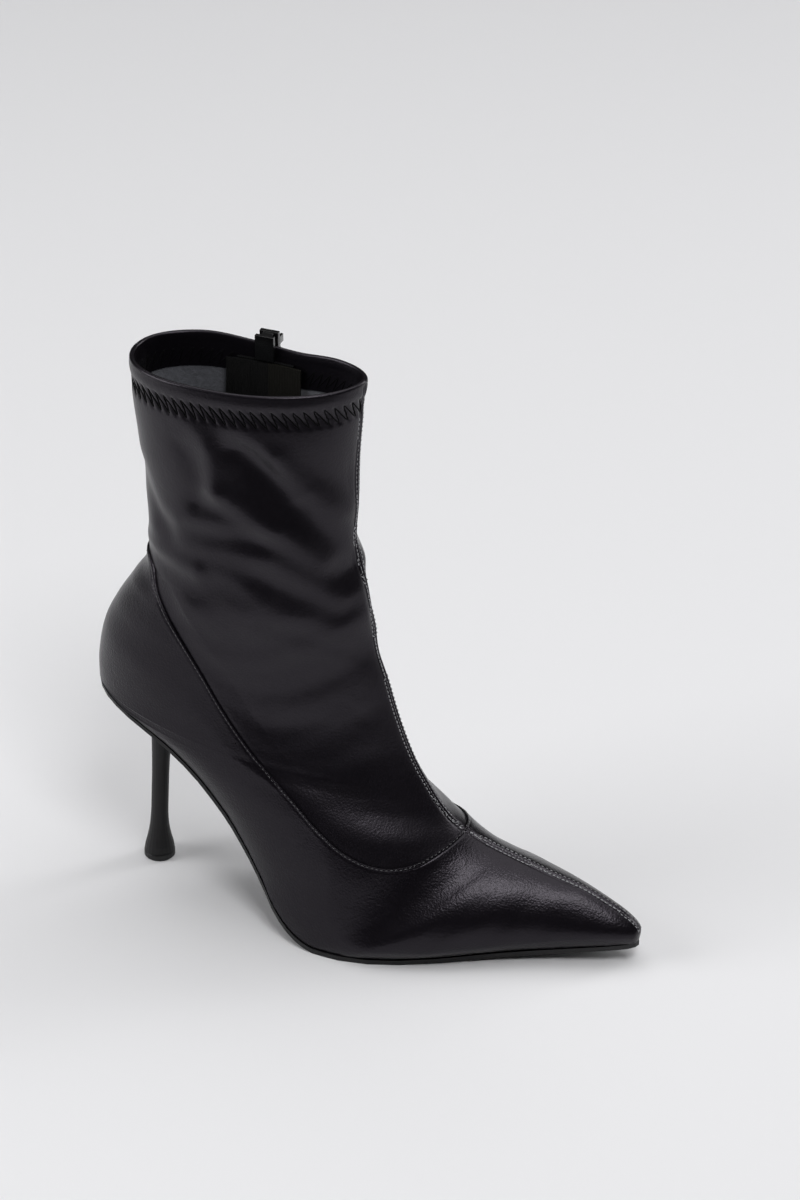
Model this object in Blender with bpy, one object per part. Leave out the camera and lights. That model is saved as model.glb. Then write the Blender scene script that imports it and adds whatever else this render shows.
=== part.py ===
# Stiletto ankle bootie, the wearer's right shoe, standing empty.
# Frame: +X to the toe, +Y to the medial side (where the zip is), +Z up, heel tip and tread on z = 0.
# All tables are in millimetres, x from the back of the counter, z from the floor.
# The last step turns them to metres and moves the whole shoe to the middle of its plan.

import bpy
import math
import numpy as np

MM = 0.001
SHARP_DEGREES = 35.0
GAP = 0.3
WALL = 2.0
STEP = 1.0
SOLE_SEAT = 1.6
SOLE_TREAD = 2.2
SOLE_BACK = 1.6
SOLE_TIP = 243.4
SOCK = 1.6
SOCK_INSET = 4.2
SOCK_BACK = 6.2
SOCK_TIP = 237.4
ROWS_PER_KEY = 2
COLUMNS = 9
COLUMNS_INSIDE = 7

# Leg rows: the crest is the front centre line, the back is the back centre line.
# "lat" and "med" are half widths, "wide" the fraction of the chord where they lie,
# "pl" and "pm" the roundness of the front, "nb" the roundness of the back.
LEG_COLUMNS = ("fx", "fz", "fy", "bx", "bz", "by", "lat", "med", "wide_l", "wide_m", "pl", "pm", "nb")
LEG_ROWS = (
    (120.8, 258.0, 6.0, 20.0, 258.0, 2.0, 29.6, 23.0, 0.50, 0.62, 1.85, 2.2, 2.2),
    (118.5, 235.0, 4.5, 21.0, 236.0, 1.5, 28.8, 23.5, 0.50, 0.60, 1.9, 2.1, 2.2),
    (117.4, 213.0, 3.0, 23.5, 214.0, 1.0, 28.0, 24.0, 0.50, 0.56, 1.9, 2.0, 2.2),
    (117.6, 191.0, 1.5, 25.5, 192.0, 0.5, 27.4, 25.0, 0.50, 0.52, 1.9, 1.9, 2.1),
    (119.6, 170.0, 0.8, 27.0, 174.0, 0.0, 27.2, 26.0, 0.52, 0.52, 1.8, 1.8, 2.1),
    (122.6, 150.0, 0.4, 26.6, 158.0, 0.0, 27.4, 26.6, 0.56, 0.56, 1.7, 1.7, 2.1),
    (126.4, 131.0, 0.2, 19.4, 145.0, 0.0, 27.6, 27.0, 0.62, 0.60, 1.65, 1.65, 2.1),
    (131.6, 113.0, 0.1, 11.8, 133.0, 0.0, 27.8, 27.4, 0.66, 0.64, 1.6, 1.6, 2.1),
    (136.4, 96.5, 0.0, 6.4, 122.0, 0.0, 28.4, 27.8, 0.66, 0.64, 1.6, 1.6, 2.15),
    (140.8, 84.0, 0.0, 3.6, 111.0, 0.0, 29.0, 28.2, 0.62, 0.60, 1.6, 1.6, 2.2),
    (145.0, 74.6, 0.0, 2.6, 102.0, 0.0, 29.6, 28.5, 0.56, 0.56, 1.6, 1.6, 2.3),
    (149.0, 67.6, 0.0, 2.8, 95.0, 0.0, 30.3, 29.1, 0.52, 0.52, 1.6, 1.6, 2.4),
)

# Foot rows: the crest goes on down the vamp, "lx" walks forward along the feather edge.
FOOT_COLUMNS = ("fx", "fz", "fy", "lx", "lat", "med", "wide_l", "wide_m", "pl", "pm", "nb")
FOOT_ROWS = (
    (149.0, 67.6, 0.0, 2.8, 30.3, 29.1, 0.52, 0.52, 1.6, 1.6, 2.4),
    (153.0, 61.2, 0.0, 15.0, 30.7, 29.4, 0.50, 0.50, 1.6, 1.6, 2.5),
    (157.2, 55.6, 0.1, 34.0, 31.5, 30.0, 0.48, 0.48, 1.55, 1.55, 2.5),
    (161.6, 51.2, 0.2, 58.0, 34.0, 31.6, 0.48, 0.46, 1.55, 1.55, 2.4),
    (167.0, 47.8, 0.4, 82.0, 38.4, 33.6, 0.56, 0.48, 1.5, 1.55, 2.3),
    (174.4, 44.2, 0.6, 104.0, 42.6, 35.4, 0.74, 0.56, 1.5, 1.5, 2.2),
    (184.0, 40.8, 0.9, 128.0, 44.0, 36.8, 0.84, 0.74, 1.45, 1.45, 2.1),
    (195.0, 37.4, 1.1, 152.0, 37.8, 37.2, 0.84, 0.84, 1.45, 1.45, 2.1),
    (207.0, 33.6, 1.4, 176.0, 27.4, 31.8, 0.80, 0.82, 1.45, 1.45, 2.1),
    (218.0, 30.6, 1.7, 197.0, 18.6, 22.8, 0.74, 0.76, 1.45, 1.45, 2.1),
    (228.0, 26.2, 1.9, 214.0, 12.8, 15.2, 0.66, 0.68, 1.5, 1.5, 2.1),
    (235.6, 22.2, 2.1, 227.0, 8.8, 9.8, 0.60, 0.62, 1.6, 1.6, 2.1),
    (240.4, 18.8, 2.2, 235.5, 5.6, 5.9, 0.56, 0.56, 1.7, 1.7, 2.1),
    (242.4, 16.4, 2.3, 240.2, 3.4, 3.5, 0.52, 0.52, 1.8, 1.8, 2.1),
    (242.9, 14.4, 2.4, 242.0, 0.0, 0.0, 0.50, 0.50, 1.9, 1.9, 2.1),
)

# Sole plan (lateral and medial half widths from the axis) and the line of the sole's underside.
PLAN_COLUMNS = ("x", "lateral", "medial")
PLAN_ROWS = (
    (SOLE_BACK, 0.0, 0.0),
    (4.0, 10.0, 10.0),
    (9.0, 17.0, 17.0),
    (15.0, 21.4, 21.0),
    (24.0, 25.2, 24.6),
    (36.0, 26.6, 25.6),
    (52.0, 26.6, 25.0),
    (67.0, 26.8, 24.4),
    (77.0, 28.6, 24.4),
    (86.0, 32.2, 24.6),
    (94.0, 37.4, 25.2),
    (104.0, 41.4, 27.4),
    (116.0, 43.8, 31.0),
    (128.0, 44.2, 34.6),
    (143.0, 40.8, 36.6),
    (155.0, 36.2, 35.8),
    (165.0, 31.8, 33.6),
    (180.0, 24.6, 28.4),
    (195.0, 18.4, 22.0),
    (206.0, 14.8, 17.6),
    (217.0, 11.4, 13.2),
    (228.0, 8.2, 9.2),
    (236.0, 5.6, 6.0),
    (240.4, 3.8, 3.9),
    (SOLE_TIP, 0.0, 0.0),
)
UNDERSIDE_COLUMNS = ("x", "z")
UNDERSIDE_ROWS = (
    (0.0, 93.6),
    (4.0, 92.4),
    (14.0, 89.4),
    (24.0, 85.6),
    (34.0, 80.2),
    (44.0, 73.0),
    (54.0, 63.8),
    (62.0, 54.4),
    (70.0, 43.8),
    (77.0, 33.8),
    (83.0, 25.4),
    (88.0, 18.6),
    (94.0, 11.6),
    (100.0, 6.2),
    (107.0, 2.0),
    (114.0, 0.2),
    (120.0, 0.0),
    (150.0, 0.0),
    (170.0, 0.5),
    (195.0, 2.5),
    (218.0, 5.0),
    (244.0, 8.2),
)

# The quarter seam in side view, from the back of the counter to the crest of the vamp.
SEAM_ROWS = (
    (-12.0, 161.0),
    (26.0, 161.0),
    (31.0, 160.2),
    (34.0, 157.4),
    (37.5, 150.4),
    (43.6, 142.0),
    (51.0, 132.0),
    (59.0, 119.0),
    (68.0, 103.4),
    (76.8, 91.0),
    (87.0, 79.4),
    (101.0, 67.2),
    (114.0, 56.0),
    (126.0, 47.6),
    (136.6, 42.8),
    (145.0, 41.2),
    (152.0, 41.9),
    (160.5, 45.6),
    (168.0, 50.6),
    (174.0, 57.0),
)

# The collar's rim height, on the lateral and on the medial side.
RIM_COLUMNS = ("x", "lateral", "medial")
RIM_ROWS = (
    (-20.0, 249.5, 249.5),
    (40.0, 250.0, 249.6),
    (60.0, 250.5, 248.0),
    (82.0, 250.5, 246.4),
    (102.0, 250.5, 248.6),
    (140.0, 250.5, 250.5),
)

ZIP_X_TOP = 69.0
ZIP_X_LOW = 67.0
ZIP_Z_TOP = 262.0
ZIP_Z_LOW = 136.0
ZIP_Z_STOP = 240.7
ZIP_SLOT = 6.0
ZIP_TAPE = 25.0
ZIP_GUARD = 33.0
TAPE_THICK = 0.8
GUARD_THICK = 1.0
COIL_INSET = 0.5
COIL_CLEAR = 0.6

# Slider: plate, bridge through the slot and lugs, as length, depth and height.
SLIDER_Z = 246.6
SLIDER_PLATE = (8.2, 2.0, 11.0)
SLIDER_BACK = (8.2, 1.8, 11.0)
SLIDER_BRIDGE = (4.6, 3.0, 10.0)
LUG = (1.2, 4.4, 3.4)
LUG_APART = 3.4
LUG_OUT = 4.0
PIN_OUT = 4.9
PIN_UP = 1.0
PIN_RADIUS = 0.65
BORE_RADIUS = 0.95
EYE_RADIUS = 1.7
EYE_LENGTH = 4.6
PULL_THICK = 1.4
# Right half of the pull's outline, from the eye down, as half width and height from the pin.
PULL_ROWS = ((2.3, 1.7), (2.3, -2.0), (3.0, -4.5), (3.8, -23.0), (3.0, -24.6))
RAISED_ROWS = ((2.2, -4.0), (2.5, -12.5))
RAISED_OUT = 1.2

HEEL_X = 24.0
# Heel sections: height, centre x, half length, half width.
HEEL_COLUMNS = ("z", "x", "a", "b")
HEEL_ROWS = (
    (3.3, 24.0, 6.6, 6.6),
    (6.0, 24.1, 6.2, 6.2),
    (11.0, 24.2, 5.0, 5.0),
    (17.0, 24.4, 4.1, 4.1),
    (25.0, 24.8, 3.75, 3.75),
    (40.0, 25.6, 3.75, 3.75),
    (54.0, 26.4, 4.0, 4.0),
    (64.0, 27.1, 4.6, 4.7),
    (72.0, 28.0, 6.4, 6.6),
    (79.0, 29.4, 10.2, 10.4),
    (85.0, 30.6, 15.0, 14.6),
    (92.0, 31.0, 18.0, 17.4),
)


def column(columns, rows, name):
    """One named column of a table as an array."""
    return np.array([row[columns.index(name)] for row in rows], float)


def smooth(xs, ys, x):
    """Smooth line through a table that never overshoots its points."""
    xs = np.asarray(xs, float)
    ys = np.asarray(ys, float)
    x = np.asarray(x, float)
    step = np.diff(xs)
    slope = np.diff(ys) / step
    lean = np.zeros_like(ys)
    product = slope[:-1] * slope[1:]
    total = slope[:-1] + slope[1:]
    total = np.where(np.abs(total) < 1e-12, 1.0, total)
    lean[1:-1] = np.where(product > 0.0, 2.0 * product / total, 0.0)
    lean[0] = slope[0]
    lean[-1] = slope[-1]
    i = np.clip(np.searchsorted(xs, x) - 1, 0, len(xs) - 2)
    t = np.clip((x - xs[i]) / step[i], 0.0, 1.0)
    a = (1.0 + 2.0 * t) * (1.0 - t) ** 2 * ys[i]
    b = t * (1.0 - t) ** 2 * step[i] * lean[i]
    c = t ** 2 * (3.0 - 2.0 * t) * ys[i + 1]
    d = t ** 2 * (t - 1.0) * step[i] * lean[i + 1]
    return a + b + c + d


def plan(x, side):
    """Half width of the sole at x. Squares are joined, so both ends come out round."""
    rows_x = column(PLAN_COLUMNS, PLAN_ROWS, "x")
    rows_w = column(PLAN_COLUMNS, PLAN_ROWS, side)
    return np.sqrt(np.maximum(smooth(rows_x, rows_w ** 2, x), 0.0))


def plan_axis(x):
    """The sole's middle line drifts to the medial side towards the tip."""
    return np.interp(x, (150.0, 244.0), (0.0, 2.4))


def underside(x):
    """Height of the sole's underside."""
    rows_x = column(UNDERSIDE_COLUMNS, UNDERSIDE_ROWS, "x")
    rows_z = column(UNDERSIDE_COLUMNS, UNDERSIDE_ROWS, "z")
    return smooth(rows_x, rows_z, x)


def lifted(lift, x):
    """The underside moved square to itself by lift, read at x."""
    base_x = np.linspace(-6.0, 250.0, 513)
    base_z = underside(base_x)
    first = base_z[12]
    base_z = np.where(base_x < 0.0, first - 0.3 * base_x, base_z)
    slope = np.gradient(base_z, base_x)
    root = np.sqrt(1.0 + slope ** 2)
    amount = lift(base_x) if callable(lift) else lift
    return np.interp(x, base_x - amount * slope / root, base_z + amount / root)


def sole_thickness(x):
    """Thin under seat and waist, thicker under the tread."""
    return np.interp(x, (90.0, 112.0), (SOLE_SEAT, SOLE_TREAD))


def sole_top(x):
    """Top face of the outsole."""
    return lifted(sole_thickness, x)


def feather(x):
    """Lower edge of the upper, one gap above the outsole."""
    return lifted(lambda at: sole_thickness(at) + GAP, x)


def insole_top(x):
    """Top face of the sock board, which lies level with the feather edge."""
    return lifted(lambda at: sole_thickness(at) + GAP + SOCK, x)


def stations():
    """Places along the sole where its sheets and the upper's lower edge have their sections."""
    seat = SOLE_BACK + 22.0 * np.linspace(0.0, 1.0, 7) ** 2
    waist = np.linspace(30.0, 62.0, 6)
    arch = np.linspace(67.0, 118.0, 13)
    tread = np.linspace(126.0, 214.0, 8)
    tip = SOLE_TIP - 22.0 * np.linspace(1.0, 0.0, 6) ** 2
    return np.concatenate((seat, waist, arch, tread, tip))


def inset(w, amount):
    """A half width brought in by an amount, easing to nothing where the form closes."""
    return np.maximum(w * (1.0 - amount / np.maximum(w, 5.5)), 0.0)


def last_rows(grow):
    """All rows of the last's form from collar to toe, moved out by grow."""
    leg_n = (len(LEG_ROWS) - 1) * ROWS_PER_KEY
    foot_n = (len(FOOT_ROWS) - 1) * ROWS_PER_KEY
    s_leg = np.linspace(0.0, len(LEG_ROWS) - 1, leg_n + 1)
    s_foot = np.linspace(0.0, len(FOOT_ROWS) - 1, foot_n + 1)[1:]
    # Rows crowd together at the back of the seat and at the tip, where the plan turns round.
    first = np.array((0.02, 0.08, 0.18, 0.32, 0.5, 0.75))
    s_foot = np.concatenate((first, s_foot[s_foot > 0.9], (len(FOOT_ROWS) - 1.12,)))
    s_foot = np.unique(np.round(s_foot, 4))
    keys = {}
    for name in ("fx", "fz", "fy", "wide_l", "wide_m", "pl", "pm", "nb"):
        leg = column(LEG_COLUMNS, LEG_ROWS, name)
        foot = column(FOOT_COLUMNS, FOOT_ROWS, name)[1:]
        whole = np.concatenate((leg, foot))
        at = np.concatenate((s_leg, s_foot + len(LEG_ROWS) - 1))
        keys[name] = smooth(np.arange(len(whole)), whole, at)
    for name in ("lat", "med"):
        leg = column(LEG_COLUMNS, LEG_ROWS, name)
        foot = column(FOOT_COLUMNS, FOOT_ROWS, name)[1:]
        whole = np.concatenate((leg, foot)) ** 2
        at = np.concatenate((s_leg, s_foot + len(LEG_ROWS) - 1))
        keys[name] = np.sqrt(np.maximum(smooth(np.arange(len(whole)), whole, at), 0.0))
    bx = smooth(np.arange(len(LEG_ROWS)), column(LEG_COLUMNS, LEG_ROWS, "bx"), s_leg)
    bz = smooth(np.arange(len(LEG_ROWS)), column(LEG_COLUMNS, LEG_ROWS, "bz"), s_leg)
    by = smooth(np.arange(len(LEG_ROWS)), column(LEG_COLUMNS, LEG_ROWS, "by"), s_leg)
    lx_keys = column(FOOT_COLUMNS, FOOT_ROWS, "lx")
    lx = smooth(np.arange(len(FOOT_ROWS)), lx_keys, s_foot)
    # Move both lines square to themselves.
    nx = -np.gradient(keys["fz"])
    nz = np.gradient(keys["fx"])
    length = np.hypot(nx, nz)
    keys["fx"] = keys["fx"] + grow * nx / length
    keys["fz"] = keys["fz"] + grow * nz / length
    tx = np.gradient(bx)
    tz = np.gradient(bz)
    length = np.hypot(tx, tz)
    bx = bx + grow * tz / length
    bz = bz - grow * tx / length
    bx[-1] = LEG_ROWS[-1][3] - grow
    edge = lx - grow * np.clip(1.0 - (lx - lx_keys[0]) / 22.0, 0.0, 1.0) ** 2
    edge = edge + grow * 1.25 * np.clip((lx - 170.0) / 72.0, 0.0, 1.0) ** 2
    low_x = np.concatenate((bx, edge))
    low_z = np.concatenate((bz[:-1], (feather(bx[-1]),), feather(edge)))
    low_y = np.concatenate((by, plan_axis(lx)))
    tread = np.interp(lx, (90.0, 120.0, 243.0), (1.2, 1.7, 1.5))
    at_plan = lx - (lx_keys[0] - PLAN_ROWS[0][0]) * np.clip(1.0 - (lx - lx_keys[0]) / 20.0, 0.0, 1.0)
    foot_lat = inset(plan(at_plan, "lateral"), tread - grow)
    foot_med = inset(plan(at_plan, "medial"), tread - grow)
    foot_lat[-1] = 0.0
    foot_med[-1] = 0.0
    zero = np.zeros(len(s_leg))
    keys["lx"] = low_x
    keys["lz"] = low_z
    keys["ly"] = low_y
    keys["end_l"] = np.concatenate((zero, foot_lat))
    keys["end_m"] = np.concatenate((zero, foot_med))
    keys["lat"] = inset(keys["lat"], -grow)
    keys["med"] = inset(keys["med"], -grow)
    return keys, len(s_leg)


def half_row(keys, i, side, columns):
    """Points of one side of row i, from the crest to the low end: chord fraction and half width."""
    w = keys["lat" if side < 0 else "med"][i]
    wide = keys["wide_l" if side < 0 else "wide_m"][i]
    p = keys["pl" if side < 0 else "pm"][i]
    n = keys["nb"][i]
    end = keys["end_l" if side < 0 else "end_m"][i]
    end = min(end, 0.9995 * w)
    turn = np.linspace(0.0, 0.5 * math.pi, columns)
    front_c = wide * (1.0 - np.cos(turn) ** (2.0 / p))
    front_w = w * np.sin(turn) ** (2.0 / p)
    last = math.acos(min(1.0, (end / w) ** (0.5 * n))) if w > 1e-6 else 0.5 * math.pi
    turn = np.linspace(0.0, last, columns)[1:]
    reach = np.sin(turn) ** (2.0 / n)
    reach = reach / reach[-1] if reach[-1] > 1e-9 else np.linspace(0.0, 1.0, columns)[1:]
    low_c = wide + (1.0 - wide) * reach
    low_w = w * np.maximum(np.cos(turn), 0.0) ** (2.0 / n)
    low_w[-1] = end
    return np.concatenate((front_c, low_c)), np.concatenate((front_w, low_w))


def fresh_mesh(name, verts, faces, group):
    """New mesh object from points in millimetres, with equal points joined."""
    mesh = bpy.data.meshes.new(name)
    mesh.from_pydata([tuple(v) for v in verts], [], faces)
    obj = bpy.data.objects.new(name, mesh)
    group.objects.link(obj)
    return obj


def tidy(obj):
    """Join equal points and turn all faces outward."""
    bpy.context.view_layer.objects.active = obj
    bpy.ops.object.select_all(action="DESELECT")
    obj.select_set(True)
    bpy.ops.object.mode_set(mode="EDIT")
    bpy.ops.mesh.select_all(action="SELECT")
    bpy.ops.mesh.remove_doubles(threshold=0.004)
    bpy.ops.mesh.dissolve_degenerate(threshold=0.002)
    bpy.ops.mesh.normals_make_consistent(inside=False)
    bpy.ops.object.mode_set(mode="OBJECT")


def last_form(name, grow, above, below, group, columns=COLUMNS):
    """The last as a filled form, moved out by grow, run past the collar and the feather edge."""
    keys, leg_count = last_rows(grow)
    count = len(keys["fx"])
    keys["fz"][0] += above
    keys["lz"][0] += above
    points = []
    index = []
    for i in range(count):
        fx, fy, fz = keys["fx"][i], keys["fy"][i], keys["fz"][i]
        lx, ly, lz = keys["lx"][i], keys["ly"][i], keys["lz"][i]
        line = []
        for side in (-1, 1):
            c, w = half_row(keys, i, side, columns)
            x = fx + (lx - fx) * c
            y = fy + (ly - fy) * c + side * w
            z = fz + (lz - fz) * c
            ring = list(zip(x, y, z))
            if i >= leg_count - 1:
                ring.append((x[-1], y[-1], z[-1] - below))
            line.append(ring)
        whole = line[0][::-1] + line[1][1:]
        index.append(list(range(len(points), len(points) + len(whole))))
        points.extend(whole)
    faces = []
    for i in range(count - 1):
        a = index[i]
        b = index[i + 1]
        if i == leg_count - 2:
            b = b[1:-1]
        for j in range(len(a) - 1):
            faces.append((a[j], a[j + 1], b[j + 1], b[j]))
    top = index[0]
    half = len(top) // 2
    for j in range(half):
        faces.append((top[j], top[-1 - j], top[-2 - j], top[j + 1]))
    for i in range(leg_count - 1, count - 1):
        a = index[i]
        b = index[i + 1]
        faces.append((a[0], b[0], b[-1], a[-1]))
    faces = [face for face in faces if len(set(face)) == len(face)]
    obj = fresh_mesh(name, points, faces, group)
    tidy(obj)
    return obj


def prism(name, near, far, y_near, y_far, group):
    """Solid between two side outlines of equal count, one at each y."""
    count = len(near)
    points = [(x, y_near, z) for x, z in near] + [(x, y_far, z) for x, z in far]
    faces = [tuple(range(count)), tuple(range(2 * count - 1, count - 1, -1))]
    for i in range(count):
        j = (i + 1) % count
        faces.append((j, i, count + i, count + j))
    obj = fresh_mesh(name, points, faces, group)
    tidy(obj)
    return obj


def boolean(obj, other, kind):
    """Apply one exact Boolean and drop the modifier."""
    mod = obj.modifiers.new(kind, "BOOLEAN")
    mod.operation = kind
    mod.solver = "EXACT"
    mod.object = other
    bpy.context.view_layer.objects.active = obj
    bpy.ops.object.select_all(action="DESELECT")
    obj.select_set(True)
    bpy.ops.object.modifier_apply(modifier=mod.name)


def plate(name, low, high, amount, x_first, x_last, group):
    """Sheet between two height lines, with the sole's plan brought in by an amount."""
    source = stations()
    xs = x_first + (x_last - x_first) * (source - SOLE_BACK) / (SOLE_TIP - SOLE_BACK)
    lateral = inset(plan(source, "lateral"), amount)
    medial = inset(plan(source, "medial"), amount)
    middle = plan_axis(xs)
    points = []
    rings = []
    for i in range(len(xs)):
        y0 = middle[i] - lateral[i]
        y1 = middle[i] + medial[i]
        ring = []
        for fraction in (0.0, 0.5, 1.0):
            ring.append((xs[i], y0 + (y1 - y0) * fraction, low(xs[i])))
        for fraction in (1.0, 0.5, 0.0):
            ring.append((xs[i], y0 + (y1 - y0) * fraction, high(xs[i])))
        rings.append(list(range(len(points), len(points) + len(ring))))
        points.extend(ring)
    faces = []
    for a, b in zip(rings[:-1], rings[1:]):
        for j in range(len(a)):
            k = (j + 1) % len(a)
            faces.append((a[j], b[j], b[k], a[k]))
    obj = fresh_mesh(name, points, faces, group)
    tidy(obj)
    return obj


def ring_stack(name, sections, sides, group):
    """Closed body through oval sections given as height, centre x, half length, half width."""
    points = []
    for z, x, a, b in sections:
        for k in range(sides):
            turn = 2.0 * math.pi * k / sides
            points.append((x + a * math.cos(turn), b * math.sin(turn), z))
    faces = []
    for i in range(len(sections) - 1):
        for k in range(sides):
            m = (k + 1) % sides
            faces.append((i * sides + k, i * sides + m, (i + 1) * sides + m, (i + 1) * sides + k))
    faces.append(tuple(range(sides - 1, -1, -1)))
    top = (len(sections) - 1) * sides
    faces.append(tuple(range(top, top + sides)))
    obj = fresh_mesh(name, points, faces, group)
    tidy(obj)
    return obj


def block(name, centre, size, group):
    """Plain box in millimetres."""
    bpy.ops.mesh.primitive_cube_add(size=1.0, location=centre)
    obj = bpy.context.active_object
    obj.name = name
    obj.scale = size
    bpy.ops.object.transform_apply(location=True, rotation=True, scale=True)
    for other in list(obj.users_collection):
        other.objects.unlink(obj)
    group.objects.link(obj)
    return obj


def rod(name, centre, radius, length, group, sides=20):
    """Round bar along x."""
    bpy.ops.mesh.primitive_cylinder_add(
        vertices=sides, radius=radius, depth=length, location=centre, rotation=(0.0, 0.5 * math.pi, 0.0)
    )
    obj = bpy.context.active_object
    obj.name = name
    bpy.ops.object.transform_apply(location=True, rotation=True, scale=True)
    for other in list(obj.users_collection):
        other.objects.unlink(obj)
    group.objects.link(obj)
    return obj


def zip_x(z):
    """The zip's middle line in side view."""
    return np.interp(z, (ZIP_Z_LOW, ZIP_Z_TOP), (ZIP_X_LOW, ZIP_X_TOP))


def zip_window(name, width, z_low, z_high, round_end, group):
    """Side outline along the zip as a cutter through the medial wall."""
    half = 0.5 * width
    outline = []
    if round_end:
        for turn in np.linspace(math.pi, 2.0 * math.pi, 9):
            z = z_low + half * (1.0 + math.sin(turn))
            outline.append((float(zip_x(z)) + half * math.cos(turn), z))
    else:
        outline.append((float(zip_x(z_low)) - half, z_low))
        outline.append((float(zip_x(z_low)) + half, z_low))
    outline.append((float(zip_x(z_high)) + half, z_high))
    outline.append((float(zip_x(z_high)) - half, z_high))
    return prism(name, outline, outline, 6.0, 60.0, group)


def medial_wall(z):
    """The leg's outer face on the medial side at the zip, read from the last's own rows."""
    keys, leg_count = last_rows(0.0)
    best = []
    for i in range(leg_count):
        c, w = half_row(keys, i, 1, COLUMNS)
        x = keys["fx"][i] + (keys["lx"][i] - keys["fx"][i]) * c
        y = keys["fy"][i] + (keys["ly"][i] - keys["fy"][i]) * c + w
        h = keys["fz"][i] + (keys["lz"][i] - keys["fz"][i]) * c
        order = np.argsort(x)
        height = np.interp(zip_x(z), x[order], h[order])
        best.append((height, np.interp(zip_x(z), x[order], y[order])))
    best.sort()
    return float(np.interp(z, [b[0] for b in best], [b[1] for b in best]))


def paint(obj, name, colour, rough, metal=0.0):
    """One named material per piece."""
    mat = bpy.data.materials.new(name)
    mat.use_nodes = True
    shader = mat.node_tree.nodes["Principled BSDF"]
    shader.inputs["Base Color"].default_value = (*colour, 1.0)
    shader.inputs["Roughness"].default_value = rough
    shader.inputs["Metallic"].default_value = metal
    obj.data.materials.clear()
    obj.data.materials.append(mat)


for old in list(bpy.data.objects):
    bpy.data.objects.remove(old, do_unlink=True)

shoe = bpy.data.collections.new("stiletto_ankle_bootie")
bpy.context.scene.collection.children.link(shoe)
tools = bpy.data.collections.new("cutters")
bpy.context.scene.collection.children.link(tools)

# Upper: outer form, plus the proud lower panel, less the foot's room, cut at collar and feather.
upper = last_form("upper", 0.0, 0.0, 4.0, shoe)
panel = last_form("panel_form", STEP, 0.0, 4.6, tools)
room = last_form("room_form", -WALL, 4.0, 9.0, tools, COLUMNS_INSIDE)

seam_x = np.array([row[0] for row in SEAM_ROWS])
seam_z = np.array([row[1] for row in SEAM_ROWS])
fine = np.linspace(seam_x[1], seam_x[-1], 36)
seam = [(-12.0, 161.0)] + [(float(x), float(z)) for x, z in zip(fine, smooth(seam_x, seam_z, fine))]
below_seam = seam + [(262.0, 70.0), (262.0, -20.0), (-12.0, -20.0)]
below = prism("below_seam", below_seam, below_seam, -75.0, 75.0, tools)
boolean(panel, below, "INTERSECT")
boolean(upper, panel, "UNION")
boolean(upper, room, "DIFFERENCE")

floor_x = np.concatenate(((-8.0,), stations(), (252.0,)))
under = [(float(x), float(feather(x))) for x in floor_x] + [(252.0, -25.0), (-8.0, -25.0)]
under_cut = prism("under_cut", under, under, -80.0, 80.0, tools)
boolean(upper, under_cut, "DIFFERENCE")

rim_x = np.linspace(-20.0, 140.0, 25)
rim_l = smooth(column(RIM_COLUMNS, RIM_ROWS, "x"), column(RIM_COLUMNS, RIM_ROWS, "lateral"), rim_x)
rim_m = smooth(column(RIM_COLUMNS, RIM_ROWS, "x"), column(RIM_COLUMNS, RIM_ROWS, "medial"), rim_x)
near_rim = [(float(x), float(z)) for x, z in zip(rim_x, rim_l)] + [(140.0, 290.0), (-20.0, 290.0)]
far_rim = [(float(x), float(z)) for x, z in zip(rim_x, rim_m)] + [(140.0, 290.0), (-20.0, 290.0)]
rim_cut = prism("rim_cut", near_rim, far_rim, -30.0, 30.0, tools)
boolean(upper, rim_cut, "DIFFERENCE")

slot = zip_window("zip_slot_cut", ZIP_SLOT, ZIP_Z_LOW, ZIP_Z_TOP, True, tools)
boolean(upper, slot, "DIFFERENCE")
tidy(upper)

# Sole sheet, sock board.
outsole = plate("outsole", underside, sole_top, 0.0, SOLE_BACK, SOLE_TIP, shoe)
insole = plate("insole", feather, insole_top, SOCK_INSET, SOCK_BACK, SOCK_TIP, shoe)

# Heel block, cut to the seat, and its top piece.
heel_z = column(HEEL_COLUMNS, HEEL_ROWS, "z")
heel_levels = (np.linspace(3.3, 25.0, 8), np.linspace(32.0, 60.0, 4), np.linspace(64.0, 92.0, 9))
heel_levels = np.concatenate(heel_levels)
heel_sections = []
for level in heel_levels:
    heel_sections.append(
        (
            float(level),
            float(smooth(heel_z, column(HEEL_COLUMNS, HEEL_ROWS, "x"), level)),
            float(smooth(heel_z, column(HEEL_COLUMNS, HEEL_ROWS, "a"), level)),
            float(smooth(heel_z, column(HEEL_COLUMNS, HEEL_ROWS, "b"), level)),
        )
    )
heel = ring_stack("heel", heel_sections, 22, shoe)
seat_x = np.linspace(-8.0, 70.0, 27)
seat_line = [(float(x), float(lifted(-GAP, x))) for x in seat_x] + [(70.0, 130.0), (-8.0, 130.0)]
seat_cut = prism("seat_cut", seat_line, seat_line, -60.0, 60.0, tools)
boolean(heel, seat_cut, "DIFFERENCE")
tidy(heel)
tip_sections = (
    (0.0, HEEL_X, 6.3, 6.3),
    (0.6, HEEL_X, 6.75, 6.75),
    (2.6, HEEL_X, 6.75, 6.75),
    (3.0, HEEL_X, 6.5, 6.5),
)
heel_tip = ring_stack("heel_tip", tip_sections, 22, shoe)

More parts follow.
